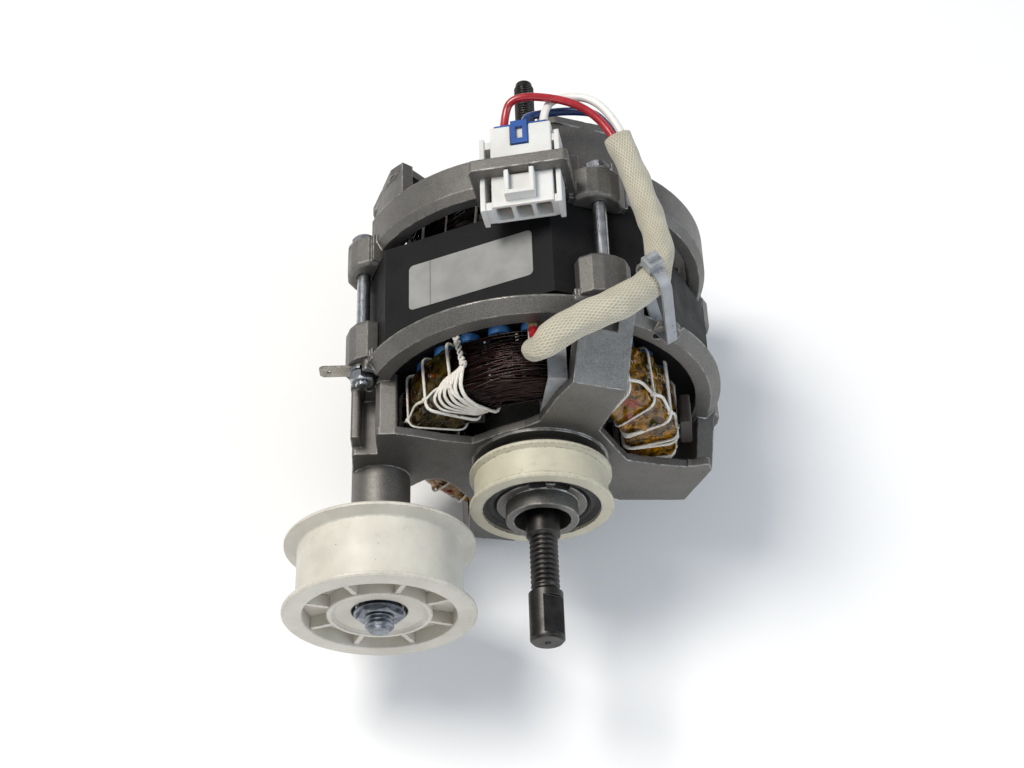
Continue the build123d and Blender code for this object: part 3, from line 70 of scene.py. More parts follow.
# Stator and windings
STATOR_ROLL = 25.35
STACK_FRONT = 41.0
STACK_BACK = 79.0
MAIN_R = 41.0
MAIN_D = 4.2
MAIN_BEND = 4.6
AUX_R = 33.0
AUX_D = 3.4
AUX_BEND = 3.4
MAIN_WIRE = 0.80
MAIN_STRANDS = 15
MAIN_SWELL = 0.12
AUX_WIRE = 0.72
AUX_STRANDS = 13
AUX_SWELL = 0.10
TURN_START = 7.2
TURN_PITCH = 4.65
SLOTS = 24
SLOT_PITCH = 360.0 / SLOTS
FRONT_TOP = STACK_FRONT - TURN_START - 3 * TURN_PITCH - MAIN_D / 2
REAR_TOP = STACK_BACK + TURN_START + 4 * TURN_PITCH + MAIN_D / 2
SKIN_WIRE_R = 0.36
SKIN_INNER_R = 31.6
BARRIER_R = 38.3
BARRIER_THICK = 0.35

# Lacing
LACE_INNER_R = 29.9
LACE_OUTER_R = 49.3
LACE_WIDTH = 1.25
LACE_THICK = 0.75
LACE_SUNK = 3.4
SUNKEN_LOOPS = (3, 4, 5)
EXTRA_LOOPS = (-21.0, -16.5, -3.0, 15.0)
WRAPS = 6

# Film over the front end turns
FILM_THICK = 0.12
CRUMPLE_SIZE = 5.6
CRUMPLE_DEPTH = 1.35
CRUMPLE_TOP = 0.45

# Leads
CONNECTOR_ROLL = 10.7
CONNECTOR_HEIGHT = 71.5
CHANNELS = (2.8, 9.6, 16.4)
LEAD_D = 2.9
LEAD_SPREAD = 1.9
LEAD_LEVEL = 52.6
LEAD_END = 33.0
CRIMP_Y = 90.0
HOUSING_BACK = 102.0
LEAD_STRAIGHT = 6.0
SLEEVE_R = 4.75
YARN_PITCH = 1.05
YARNS_AROUND = 28
SLEEVE_WALL = 0.4
SLEEVE_COLUMNS = 72
TIE_CORNER = 2
SLEEVE_PATH = [
    (29.3, 99.3, 71.4),
    (36.3, 80.5, 67.0),
    (43.0, 47.0, 64.8),
    (27.5, 31.0, 72.0),
    (13.5, 26.0, 70.0),
    (4.5, 21.8, 67.6),
    (-0.2, 19.9, 62.6),
    (-0.9, 22.9, 57.2),
]


# Vectors and lines


def polar(radius, angle):
    """Point (x, z) at a radius from the shaft axis and an angle from +X towards +Z."""
    a = math.radians(angle)
    return radius * math.cos(a), radius * math.sin(a)


def unit(v):
    """Vector of length one."""
    return v / np.linalg.norm(v)


def carried_frames(points):
    """Tangents and two side vectors carried along a line without twist."""
    points = np.asarray(points, float)
    tangents = np.gradient(points, axis=0)
    tangents /= np.linalg.norm(tangents, axis=1)[:, None]
    start = np.cross(tangents[0], (0.0, 0.0, 1.0))
    if np.linalg.norm(start) < 0.1:
        start = np.cross(tangents[0], (1.0, 0.0, 0.0))
    sides = [unit(start)]
    for k in range(1, len(points)):
        side = sides[-1] - tangents[k] * np.dot(sides[-1], tangents[k])
        sides.append(unit(side))
    sides = np.array(sides)
    return tangents, sides, np.cross(tangents, sides)


def evenly(points, step):
    """The same line with points at an even step."""
    points = np.asarray(points, float)
    runs = np.linalg.norm(np.diff(points, axis=0), axis=1)
    along = np.concatenate([[0.0], np.cumsum(runs)])
    count = max(2, int(along[-1] / step) + 1)
    at = np.linspace(0.0, along[-1], count)
    return np.stack([np.interp(at, along, points[:, k]) for k in range(3)], axis=1)


def wander(seed, count, reach):
    """Smooth random numbers from -1 to 1, that change over a reach of steps."""
    return np.array([noise.noise(Vector((k / reach, seed * 7.31, 0.5))) * 1.9 for k in range(count)])


# Mesh making


class Shape:
    """Gathers swept tubes and grids into one mesh, with a UV map in millimetres."""

    def __init__(self):
        self.corners = []
        self.faces = []
        self.uvs = []
        self.count = 0

    def grid(self, rows, wrap_rows=False, wrap_columns=True, uv=None):
        """Quads over rows of points."""
        rows = np.asarray(rows, float)
        height, width = rows.shape[:2]
        self.corners.append(rows.reshape(-1, 3))
        last_row = height if wrap_rows else height - 1
        last_column = width if wrap_columns else width - 1
        for i in range(last_row):
            j = (i + 1) % height
            for a in range(last_column):
                b = (a + 1) % width
                face = (i * width + a, i * width + b, j * width + b, j * width + a)
                self.faces.append(tuple(self.count + c for c in face))
                if uv is None:
                    self.uvs.append(((i, a), (i, a + 1), (i + 1, a + 1), (i + 1, a)))
                else:
                    u, v = uv
                    self.uvs.append(
                        ((u[i], v[a]), (u[i], v[a + 1]), (u[i + 1], v[a + 1]), (u[i + 1], v[a]))
                    )
        self.count += height * width

    def cap(self, first, width, flip):
        """Closes one ring of a tube."""
        ring = [first + k for k in range(width)]
        if flip:
            ring.reverse()
        self.faces.append(tuple(ring))
        self.uvs.append(tuple((0.0, 0.0) for _ in ring))

    def tube(self, points, section):
        """A closed section, (n, 2) or one per point, carried along a line and capped."""
        points = np.asarray(points, float)
        _, sides, ups = carried_frames(points)
        section = np.asarray(section, float)
        if section.ndim == 2:
            section = np.repeat(section[None], len(points), axis=0)
        rows = points[:, None] + section[..., :1] * sides[:, None] + section[..., 1:] * ups[:, None]
        first = self.count
        width = section.shape[1]
        self.grid(rows)
        self.cap(first, width, False)
        self.cap(first + (len(points) - 1) * width, width, True)

    def make(self, name, look, body=ROOT):
        """The gathered mesh as a piece that rides on a body."""
        mesh = bpy.data.meshes.new(name)
        corners = np.concatenate(self.corners) * MM
        mesh.from_pydata(corners.tolist(), [], self.faces)
        layer = mesh.uv_layers.new(name="span")
        flat = np.array([c for face in self.uvs for c in face], float)
        layer.data.foreach_set("uv", flat.ravel())
        mesh.polygons.foreach_set("use_smooth", [True] * len(mesh.polygons))
        mesh.materials.append(look)
        mesh.validate()
        piece = bpy.data.objects.new(name, mesh)
        bpy.context.scene.collection.objects.link(piece)
        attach(piece, body)
        return piece


def ring_section(radius, sides, turn=0.0):
    """Points of a circle."""
    a = np.linspace(0, 2 * math.pi, sides, endpoint=False) + turn
    return np.stack([radius * np.cos(a), radius * np.sin(a)], axis=1)


def flat_section(width, thick, sides=8):
    """Points of a flattened circle."""
    circle = ring_section(1.0, sides)
    return np.sign(circle) * np.abs(circle) ** 0.75 * (width / 2, thick / 2)


# Finishes


class Look:
    """One procedural finish: a principled shader and the nodes that feed it."""

    def __init__(self, name, rough=0.5, metal=0.0, **constants):
        self.material = bpy.data.materials.new(name)
        self.material.use_nodes = True
        self.tree = self.material.node_tree
        self.shader = self.tree.nodes["Principled BSDF"]
        self.at = self.add("ShaderNodeTexCoord").outputs["Object"]
        self.normal = None
        self.shader.inputs["Metallic"].default_value = metal
        self.shader.inputs["Roughness"].default_value = rough
        for socket, value in constants.items():
            self.shader.inputs[socket.replace("_", " ")].default_value = value

    def add(self, kind, **settings):
        """A new node with its settings."""
        node = self.tree.nodes.new(kind)
        for key, value in settings.items():
            setattr(node, key, value)
        return node

    def wire(self, source, target):
        """Links an output, or sets a plain value."""
        if isinstance(source, bpy.types.NodeSocket):
            self.tree.links.new(source, target)
        else:
            target.default_value = source

    def stretched(self, scale, at=None):
        """Coordinates scaled differently along each axis."""
        node = self.add("ShaderNodeMapping")
        self.wire(at or self.at, node.inputs["Vector"])
        node.inputs["Scale"].default_value = scale
        return node.outputs["Vector"]

    def noise(self, size, detail=3.0, rough=0.55, at=None, distort=0.0):
        """Cloudy variation whose features are about size millimetres."""
        node = self.add("ShaderNodeTexNoise")
        self.wire(at or self.at, node.inputs["Vector"])
        node.inputs["Scale"].default_value = 1000.0 / size
        node.inputs["Detail"].default_value = detail
        node.inputs["Roughness"].default_value = rough
        node.inputs["Distortion"].default_value = distort
        return node.outputs["Fac"]

    def cells(self, size):
        """Distance in a cell pattern whose cells are about size millimetres."""
        node = self.add("ShaderNodeTexVoronoi")
        self.wire(self.at, node.inputs["Vector"])
        node.inputs["Scale"].default_value = 1000.0 / size
        return node.outputs["Distance"]

    def waves(self, size, axis="Y", distort=0.0, at=None):
        """Even bands along an axis, one each size millimetres."""
        node = self.add("ShaderNodeTexWave", bands_direction=axis)
        self.wire(at or self.at, node.inputs["Vector"])
        node.inputs["Scale"].default_value = 1000.0 / size / 20.0 * 2 * math.pi
        node.inputs["Distortion"].default_value = distort
        return node.outputs["Fac"]

    def braid(self, uv, along, around):
        """Crossed yarns of a braid, for pitches in millimetres along and around the tube."""
        split = self.add("ShaderNodeSeparateXYZ")
        self.wire(uv, split.inputs[0])
        u = self.math("MULTIPLY", split.outputs[0], math.pi / along)
        v = self.math("MULTIPLY", split.outputs[1], 2 * math.pi / around)
        one = self.math("COSINE", self.math("ADD", u, v))
        other = self.math("COSINE", self.math("SUBTRACT", u, v))
        over = self.math("MAXIMUM", one, other)
        return self.step(over, -0.4, 0.9)

    def math(self, operation, a, b=0.0, clamp=False):
        """Arithmetic on two values."""
        node = self.add("ShaderNodeMath", operation=operation, use_clamp=clamp)
        self.wire(a, node.inputs[0])
        self.wire(b, node.inputs[1])
        return node.outputs[0]

    def step(self, value, low, high, to_low=0.0, to_high=1.0):
        """A value's range moved to another range, cut off at its ends."""
        node = self.add("ShaderNodeMapRange")
        self.wire(value, node.inputs["Value"])
        numbers = {"From Min": low, "From Max": high, "To Min": to_low, "To Max": to_high}
        for name, number in numbers.items():
            node.inputs[name].default_value = number
        return node.outputs["Result"]

    def mix(self, share, a, b):
        """Colour between a and b."""
        node = self.add("ShaderNodeMix", data_type="RGBA")
        self.wire(share, node.inputs[0])
        self.wire(rgba(a), node.inputs[6])
        self.wire(rgba(b), node.inputs[7])
        return node.outputs[2]

    def edge(self, radius):
        """How far the surface turns within a radius in millimetres, 0 on the flat."""
        bevel = self.add("ShaderNodeBevel", samples=6)
        bevel.inputs["Radius"].default_value = radius * MM
        flat = self.add("ShaderNodeNewGeometry").outputs["Normal"]
        product = self.add("ShaderNodeVectorMath", operation="DOT_PRODUCT")
        self.wire(bevel.outputs["Normal"], product.inputs[0])
        self.wire(flat, product.inputs[1])
        return self.step(product.outputs["Value"], 0.995, 0.80)

    def soften(self, radius):
        """Rounds the light on edges, and gives the normal that bumps build on."""
        bevel = self.add("ShaderNodeBevel", samples=6)
        bevel.inputs["Radius"].default_value = radius * MM
        self.normal = bevel.outputs["Normal"]

    def bump(self, height, depth, strength=1.0):
        """Adds relief with a depth in millimetres."""
        node = self.add("ShaderNodeBump")
        node.inputs["Strength"].default_value = strength
        node.inputs["Distance"].default_value = depth * MM
        self.wire(height, node.inputs["Height"])
        if self.normal is not None:
            self.wire(self.normal, node.inputs["Normal"])
        self.normal = node.outputs["Normal"]

    def done(self, colour, rough=None):
        """Joins colour, roughness and relief to the shader."""
        self.wire(rgba(colour), self.shader.inputs["Base Color"])
        if rough is not None:
            self.wire(rough, self.shader.inputs["Roughness"])
        if self.normal is not None:
            self.wire(self.normal, self.shader.inputs["Normal"])
        return self.material


def rgba(colour):
    """A colour with its alpha, or a socket as it is."""
    return (*colour, 1.0) if isinstance(colour, tuple) and len(colour) == 3 else colour


def cast_aluminium():
    """Rough die casting, mottled and grainy, bright where its edges are worn."""
    look = Look("cast_aluminium", metal=0.85)
    look.soften(0.7)
    mottle = look.noise(16.0, 4.0)
    grain = look.noise(0.5, 2.0)
    skin = look.noise(3.4, 4.0, 0.6)
    worn = look.edge(0.9)
    patchy = look.step(look.noise(3.2, 3.0), 0.40, 0.58)
    worn = look.math("MULTIPLY", worn, patchy, clamp=True)
    base = look.mix(look.step(mottle, 0.35, 0.65), (0.112, 0.107, 0.099), (0.158, 0.151, 0.141))
    base = look.mix(look.step(grain, 0.30, 0.80), base, (0.225, 0.216, 0.203))
    base = look.mix(look.step(skin, 0.62, 0.80, 0.0, 0.35), base, (0.085, 0.081, 0.075))
    base = look.mix(look.math("MULTIPLY", worn, 0.85), base, (0.60, 0.585, 0.56))
    rough = look.step(skin, 0.3, 0.7, 0.44, 0.56)
    rough = look.math("SUBTRACT", rough, look.math("MULTIPLY", worn, 0.16))
    look.bump(grain, 0.055)
    look.bump(skin, 0.10, 0.7)
    return look.done(base, rough)


def black_stack():
    """Black paint over the edges of the stack's sheets."""
    look = Look("stack_black", rough=0.55, Specular_IOR_Level=0.16)
    look.soften(0.25)
    grain = look.noise(0.5, 2.0)
    patch = look.noise(9.0, 3.0)
    sheets = look.waves(0.5)
    chamfered = look.edge(0.5)
    base = look.mix(look.step(patch, 0.35, 0.65), (0.0045, 0.0045, 0.005), (0.0085, 0.0085, 0.009))
    base = look.mix(look.step(grain, 0.66, 0.78), base, (0.030, 0.030, 0.031))
    base = look.mix(look.math("MULTIPLY", chamfered, 0.30), base, (0.07, 0.068, 0.065))
    look.bump(sheets, 0.02, 0.35)
    look.bump(grain, 0.045)
    return look.done(base, look.step(patch, 0.3, 0.7, 0.50, 0.66))


def plated(name, colour, dark, rough=0.26):
    """Zinc plate with faint streaks and dull spots."""
    look = Look(name, metal=1.0)
    look.soften(0.18)
    streak = look.noise(0.35, 2.0, at=look.stretched((1.0, 0.08, 1.0)))
    cloud = look.noise(3.0, 3.0)
    spots = look.step(look.noise(1.1, 3.0), 0.62, 0.74)
    base = look.mix(look.step(cloud, 0.35, 0.65), dark, colour)
    base = look.mix(look.math("MULTIPLY", spots, 0.45), base, tuple(0.45 * c for c in dark))
    look.bump(streak, 0.012, 0.6)
    look.bump(cloud, 0.05, 0.3)
    return look.done(base, look.step(streak, 0.25, 0.75, rough - 0.06, rough + 0.12))


def dark_shaft():
    """Dark turned steel with fine rings and lighter edges."""
    look = Look("shaft_steel", metal=1.0)
    look.soften(0.22)
    turned = look.noise(0.22, 2.0, at=look.stretched((0.05, 1.0, 0.05)))
    cloud = look.noise(6.0, 4.0)
    specks = look.step(look.cells(2.4), 0.10, 0.04)
    worn = look.math("MULTIPLY", look.edge(0.35), 0.6)
    base = look.mix(look.step(cloud, 0.35, 0.65), (0.034, 0.032, 0.031), (0.062, 0.059, 0.056))
    base = look.mix(worn, base, (0.20, 0.19, 0.18))
    base = look.mix(look.math("MULTIPLY", specks, 0.7), base, (0.03, 0.028, 0.027))
    look.bump(turned, 0.018, 0.7)
    look.bump(cloud, 0.03, 0.3)
    return look.done(base, look.step(turned, 0.25, 0.75, 0.30, 0.46))


def moulded(name, colour, shade, rough, dirt=0.0, dirt_colour=(0.16, 0.155, 0.145), **extra):
    """Moulded plastic: faint flow marks, scuffed and dirty edges where dirt is set."""
    look = Look(name, **extra)
    look.soften(0.35)
    flow = look.noise(11.0, 3.0)
    fine = look.noise(0.6, 2.0)
    base = look.mix(look.step(flow, 0.35, 0.65), shade, colour)
    if dirt:
        rub = look.step(look.noise(1.5, 4.0, 0.65), 0.47, 0.60)
        rub = look.math("MULTIPLY", rub, look.edge(1.1), clamp=True)
        stains = look.step(look.noise(4.0, 5.0, 0.7), 0.60, 0.78, 0.0, 0.30)
        specks = look.step(look.cells(5.5), 0.07, 0.035, 0.0, 0.85)
        broken = look.step(look.noise(7.0, 2.0), 0.50, 0.56)
        specks = look.math("MULTIPLY", specks, broken)
        marks = look.math("MAXIMUM", look.math("MAXIMUM", rub, stains), specks)
        base = look.mix(look.math("MULTIPLY", marks, dirt, clamp=True), base, dirt_colour)
    look.bump(fine, 0.012, 0.5)
    look.bump(flow, 0.12, 0.25)
    return look.done(base, look.step(fine, 0.25, 0.75, rough - 0.05, rough + 0.08))


def black_rubber():
    """Dusty black rubber."""
    look = Look("mount_rubber", rough=0.6)
    look.soften(0.3)
    fine = look.noise(0.5, 3.0)
    dust = look.step(look.noise(3.5, 4.0, 0.65), 0.52, 0.75, 0.0, 0.5)
    base = look.mix(dust, (0.010, 0.010, 0.011), (0.06, 0.058, 0.055))
    look.bump(fine, 0.03)
    return look.done(base, look.step(fine, 0.2, 0.8, 0.48, 0.66))


def enamelled_wire(name, deep, bright):
    """Enamelled and varnished winding wire; its strand-to-strand colour holds painted highlights and
    painted shade.
    """
    look = Look(name, metal=0.6, Specular_IOR_Level=0.3, Coat_Weight=0.12, Coat_Roughness=0.08)
    uv = look.add("ShaderNodeUVMap", uv_map="span").outputs["UV"]
    # Painted highlight: lighter streaks along each wire, mixed from the deep tone to the bright one.
    strand = look.noise(400.0, 1.0, at=look.stretched((0.02, 1.0, 1.0), uv))
    # Painted shade: darker patches where shade falls in the bundle; the same patches are also rougher.
    painted_shade_patches = look.step(look.noise(2.8, 4.0), 0.44, 0.68)
    base = look.mix(look.step(strand, 0.46, 0.74), deep, bright)
    base = look.mix(look.math("MULTIPLY", painted_shade_patches, 0.65), base, tuple(0.35 * c for c in deep))
    look.bump(look.noise(0.5, 2.0), 0.03, 0.7)
    return look.done(base, look.step(painted_shade_patches, 0.0, 1.0, 0.18, 0.34))


def waxed_cord():
    """White twisted cord, stained by varnish, with painted shade in the grooves of its twist."""
    look = Look("lacing_white", rough=0.55, Sheen_Weight=0.2)
    uv = look.add("ShaderNodeUVMap", uv_map="span").outputs["UV"]
    lay_and_painted_shade = look.waves(900.0, "DIAGONAL", 0.4, at=uv)
    soiled = look.step(look.noise(3.0, 4.0), 0.45, 0.75, 0.0, 0.55)
    # Painted shade: the cord is darker in the grooves of its twist.
    base = look.mix(lay_and_painted_shade, (0.60, 0.57, 0.50), (0.80, 0.78, 0.72))
    base = look.mix(soiled, base, (0.42, 0.34, 0.22))
    look.bump(lay_and_painted_shade, 0.10)
    look.bump(look.noise(0.25, 2.0), 0.04)
    return look.done(base)


def amber_film(name, pale, deep, clear):
    """Crumpled glossy film, with lit and shaded facets painted into its colour as painted light and
    shade.
    """
    look = Look(name, rough=0.06, Transmission_Weight=clear, IOR=1.5)
    # Painted light and shade: lighter and darker patches stand for facets that face the lamps or turn
    # away.
    painted_facet_light = look.noise(6.0, 3.0)
    painted_facet_shade = look.step(look.noise(3.4, 3.0, distort=0.8), 0.50, 0.56)
    creases = look.add("ShaderNodeTexNoise", noise_type="RIDGED_MULTIFRACTAL")
    look.wire(look.at, creases.inputs["Vector"])
    creases.inputs["Scale"].default_value = 1000.0 / CREASE
    creases.inputs["Detail"].default_value = 1.0
    base = look.mix(look.step(painted_facet_light, 0.36, 0.62), tuple(0.4 * c for c in pale), pale)
    # Painted shade: the deep patches are facets in shade; they are also a little rougher.
    base = look.mix(look.math("MULTIPLY", painted_facet_shade, 0.85), base, deep)
    scrap = look.step(look.noise(9.0, 1.0), 0.66, 0.68, 0.0, 0.8)
    base = look.mix(scrap, base, SCRAP_RED)
    scrap = look.step(look.noise(9.0, 1.0), 0.34, 0.32, 0.0, 0.7)
    base = look.mix(scrap, base, SCRAP_GREEN)
    look.bump(creases.outputs["Fac"], 0.8, 0.9)
    return look.done(base, look.step(painted_facet_shade, 0.0, 1.0, 0.04, 0.10))


def fibre_sheet():
    """Grey-brown insulation sheet with pale fibres."""
    look = Look("phase_sheet", rough=0.7)
    fibre = look.noise(0.5, 3.0, at=look.stretched((1.0, 0.2, 1.0)))
    cloud = look.noise(8.0, 3.0)
    base = look.mix(look.step(cloud, 0.35, 0.65), (0.060, 0.052, 0.045), (0.125, 0.115, 0.10))
    base = look.mix(look.step(fibre, 0.6, 0.75, 0.0, 0.5), base, (0.24, 0.22, 0.19))
    look.bump(fibre, 0.05)
    return look.done(base, look.step(cloud, 0.3, 0.7, 0.6, 0.75))


def blue_liner():
    """Blue polyester film of the slot liners."""
    look = Look("slot_liner_blue", rough=0.35, Coat_Weight=0.25)
    cloud = look.noise(4.0, 3.0)
    base = look.mix(look.step(cloud, 0.35, 0.65), (0.012, 0.055, 0.16), (0.03, 0.12, 0.30))
    look.bump(look.noise(0.8, 2.0), 0.03)
    return look.done(base, look.step(cloud, 0.3, 0.7, 0.28, 0.45))


def fibre_wedge():
    """Tan pressed fibre with a grain along the slots."""
    look = Look("slot_wedge_tan", rough=0.6)
    grain = look.noise(0.7, 3.0, at=look.stretched((1.0, 0.1, 1.0)))
    base = look.mix(look.step(grain, 0.3, 0.7), (0.30, 0.19, 0.09), (0.45, 0.31, 0.16))
    look.bump(grain, 0.04)
    return look.done(base)


def grey_label():
    """A bare foil label: one thin rule across it and a little dirt."""
    look = Look("label_grey", rough=0.42)
    roll = math.radians(STATOR_ROLL)
    along = look.add("ShaderNodeVectorMath", operation="DOT_PRODUCT")
    look.wire(look.at, along.inputs[0])
    along.inputs[1].default_value = (math.cos(roll), 0.0, math.sin(roll))
    rule = look.math("COMPARE", along.outputs["Value"], LABEL_RULE_AT * MM)
    rule.node.inputs[2].default_value = LABEL_RULE_HALF * MM
    cloud = look.noise(9.0, 4.0)
    base = look.mix(look.step(cloud, 0.35, 0.65), (0.225, 0.225, 0.218), (0.275, 0.275, 0.267))
    base = look.mix(look.math("MULTIPLY", rule, 0.8), base, (0.06, 0.06, 0.06))
    base = look.mix(look.step(look.noise(1.3, 4.0), 0.66, 0.76, 0.0, 0.4), base, (0.12, 0.12, 0.12))
    look.bump(look.noise(0.7, 2.0), 0.01, 0.5)
    return look.done(base, look.step(cloud, 0.3, 0.7, 0.34, 0.48))


def woven_sleeve():
    """Cream braid, with its yarns as relief and painted shade in the gaps between them."""
    look = Look("sleeve_cream", rough=0.62, Sheen_Weight=0.35)
    uv = look.add("ShaderNodeUVMap", uv_map="span").outputs["UV"]
    weave_and_painted_shade = look.braid(uv, YARN_PITCH, 1.0)
    soiled = look.step(look.noise(9.0, 4.0), 0.40, 0.70)
    thread = look.noise(0.35, 2.0)
    # Painted shade: the braid is darker in the gaps between its yarns.
    base = look.mix(weave_and_painted_shade, (0.33, 0.30, 0.215), (0.50, 0.47, 0.37))
    base = look.mix(look.step(thread, 0.45, 0.8, 0.0, 0.4), base, (0.58, 0.55, 0.45))
    base = look.mix(look.math("MULTIPLY", soiled, 0.40), base, (0.30, 0.265, 0.18))
    look.bump(weave_and_painted_shade, 0.20)
    look.bump(thread, 0.05)
    return look.done(base)


def insulated(name, deep, bright, rough=0.26):
    """Smooth insulation of a lead, a little dusty."""
    look = Look(name, rough=rough, Coat_Weight=0.3, Coat_Roughness=0.2)
    cloud = look.noise(5.0, 3.0)
    dust = look.step(look.noise(1.6, 4.0), 0.62, 0.80, 0.0, 0.25)
    base = look.mix(look.step(cloud, 0.3, 0.7), deep, bright)
    base = look.mix(dust, base, (0.35, 0.33, 0.30))
    look.bump(look.noise(2.2, 2.0), 0.05, 0.5)
    return look.done(base, look.step(cloud, 0.3, 0.7, rough - 0.05, rough + 0.08))


def clear_nylon():
    """Milky nylon that lets some light through."""
    look = Look("clear_nylon", rough=0.30, Transmission_Weight=0.45, **CLOUDY)
    look.soften(0.2)
    cloud = look.noise(4.0, 3.0)
    base = look.mix(look.step(cloud, 0.3, 0.7), (0.40, 0.42, 0.44), (0.52, 0.54, 0.56))
    look.bump(look.noise(0.8, 2.0), 0.02, 0.6)
    return look.done(base, look.step(cloud, 0.3, 0.7, 0.25, 0.4))


CREAM = (0.53, 0.50, 0.385)
PULLEY = (0.60, 0.575, 0.505)
MILKY = (0.66, 0.665, 0.65)
WAXY = {"Subsurface_Weight": 0.08, "Subsurface_Scale": 0.003}
CLOUDY = {"Subsurface_Weight": 0.2, "Subsurface_Scale": 0.002}
SCRAP_RED = (0.45, 0.035, 0.008)
SCRAP_GREEN = (0.035, 0.055, 0.010)
CREASE = 6.5
LABEL_RULE_AT = -14.2
LABEL_RULE_HALF = 0.16

ALUMINIUM = cast_aluminium()
STACK = black_stack()
ZINC = plated("zinc_plate", (0.50, 0.515, 0.54), (0.33, 0.345, 0.37))
STUD = plated("zinc_stud", (0.27, 0.29, 0.33), (0.13, 0.14, 0.16), 0.30)
YELLOWED = plated("zinc_yellowed", (0.36, 0.34, 0.30), (0.24, 0.225, 0.195))
BEARING = plated("bearing_steel", (0.60, 0.60, 0.61), (0.48, 0.48, 0.49), 0.18)
STRIP = plated("bearing_cage", (0.44, 0.41, 0.35), (0.34, 0.31, 0.26), 0.34)
SPRING = plated("spring_steel", (0.28, 0.27, 0.26), (0.20, 0.19, 0.19), 0.34)
CORE = plated("rotor_steel", (0.26, 0.25, 0.24), (0.16, 0.15, 0.145), 0.40)
CAGE = plated("rotor_aluminium", (0.52, 0.52, 0.52), (0.40, 0.40, 0.40), 0.42)
TERMINAL = plated("terminal_brass", (0.56, 0.42, 0.18), (0.42, 0.30, 0.12), 0.28)
SHAFT = dark_shaft()
RUBBER = black_rubber()
SEAL = moulded("bearing_seal", (0.02, 0.02, 0.021), (0.012, 0.012, 0.013), 0.5)
RING = moulded("ring_cream", CREAM, (0.46, 0.43, 0.33), 0.44, 1.0, (0.055, 0.053, 0.048))
WHEEL = moulded("pulley_white", PULLEY, (0.52, 0.495, 0.43), 0.40, 0.8, **WAXY)
HOUSING = moulded("connector_white", MILKY, (0.60, 0.60, 0.58), 0.34, 0.12, **CLOUDY)
RETAINER = moulded("retainer_blue", (0.02, 0.09, 0.33), (0.014, 0.065, 0.26), 0.36)
PROTECTOR = moulded("protector_shell", (0.035, 0.025, 0.02), (0.02, 0.016, 0.014), 0.45)
SPLICE = moulded("splice_sleeve", (0.42, 0.31, 0.18), (0.30, 0.21, 0.11), 0.32)
# Near-black deep tones are painted shade for the wire inside the brackets; the bright tones are painted
# highlights.
WIRE_MAIN = enamelled_wire("enamelled_wire", (0.004, 0.0008, 0.0007), (0.050, 0.0065, 0.004))
WIRE_AUX = enamelled_wire("enamelled_wire_inner", (0.004, 0.0009, 0.0007), (0.036, 0.0065, 0.004))
CORD = waxed_cord()
FILM = amber_film("amber_film", (0.66, 0.31, 0.008), (0.050, 0.018, 0.002), 0.62)
# Painted shade: a darker copy of the amber film, for the film that lies in the left window.
FILM_PAINTED_SHADE = amber_film("amber_film_painted_shade", (0.085, 0.055, 0.010), (0.012, 0.007, 0.002), 0.45)
SHEET = fibre_sheet()
LINER = blue_liner()
WEDGE = fibre_wedge()
LABEL = grey_label()
SLEEVE = woven_sleeve()
LEAD_RED = insulated("lead_red", (0.27, 0.007, 0.013), (0.40, 0.016, 0.026))
LEAD_BLUE = insulated("lead_blue", (0.008, 0.030, 0.12), (0.013, 0.050, 0.19))
LEAD_WHITE = insulated("lead_white", (0.66, 0.65, 0.61), (0.76, 0.75, 0.71), 0.32)
NYLON = clear_nylon()

FINISHES = {
    "stator_stack": STACK,
    "slot_liners": LINER,
    "slot_wedges": WEDGE,
    "thermal_protector": PROTECTOR,
    "stator_label": LABEL,
    "shaft": SHAFT,
    "rotor_core": CORE,
    "rotor_cage": CAGE,
    "wave_spring": SPRING,
    "front_bracket": ALUMINIUM,
    "rear_bracket": ALUMINIUM,
    "through_bolts": ZINC,
    "bolt_nuts": ZINC,
    "earth_tab": YELLOWED,
    "earth_washer": ZINC,
    "front_mount_ring": RING,
    "front_mount_bush": RUBBER,
    "rear_mount_ring": RING,
    "rear_mount_bush": RUBBER,
    "idler_pulley": WHEEL,
    "idler_spacer": ZINC,
    "idler_stud": STUD,
    "idler_nut": STUD,
    "connector_housing": HOUSING,
    "connector_terminals": TERMINAL,
    "connector_retainer": RETAINER,
    "lead_splices": SPLICE,
    "exit_collar": NYLON,
    "cable_tie": NYLON,
}
for bearing in ("front", "rear", "idler"):
    FINISHES[bearing + "_bearing_inner"] = BEARING
    FINISHES[bearing + "_bearing_outer"] = BEARING
    FINISHES[bearing + "_bearing_balls"] = BEARING
    FINISHES[bearing + "_bearing_cage"] = STRIP
    FINISHES[bearing + "_bearing_seals"] = SEAL
for node, finish in FINISHES.items():
    NODES[node].data.materials.clear()
    NODES[node].data.materials.append(finish)


# Windings


class Wound:
    """The line of one winding, as sampled points with a mark on those outside the slots."""

    def __init__(self, start):
        self.points = [np.array(start, float)]

    def line(self, target):
        start = self.points[-1]
        target = np.array(target, float)
        steps = max(1, int(np.linalg.norm(target - start) / 6.0))
        for k in range(1, steps + 1):
            self.points.append(start + (target - start) * k / steps)

    def arc(self, centre, start_arm, end_arm, turn):
        """Arc about a centre from one arm towards another through an angle."""
        radius = np.linalg.norm(start_arm)
        side = unit(end_arm - start_arm * np.dot(end_arm, start_arm) / radius**2)
        steps = max(3, int(radius * turn / 2.2))
        for k in range(1, steps + 1):
            a = turn * k / steps
            self.points.append(centre + start_arm * math.cos(a) + side * radius * math.sin(a))


def slot_point(radius, angle, y):
    """Point in a slot, at an angle in the stator's own frame."""
    x, z = polar(radius, angle + STATOR_ROLL)
    return np.array((x, y, z))


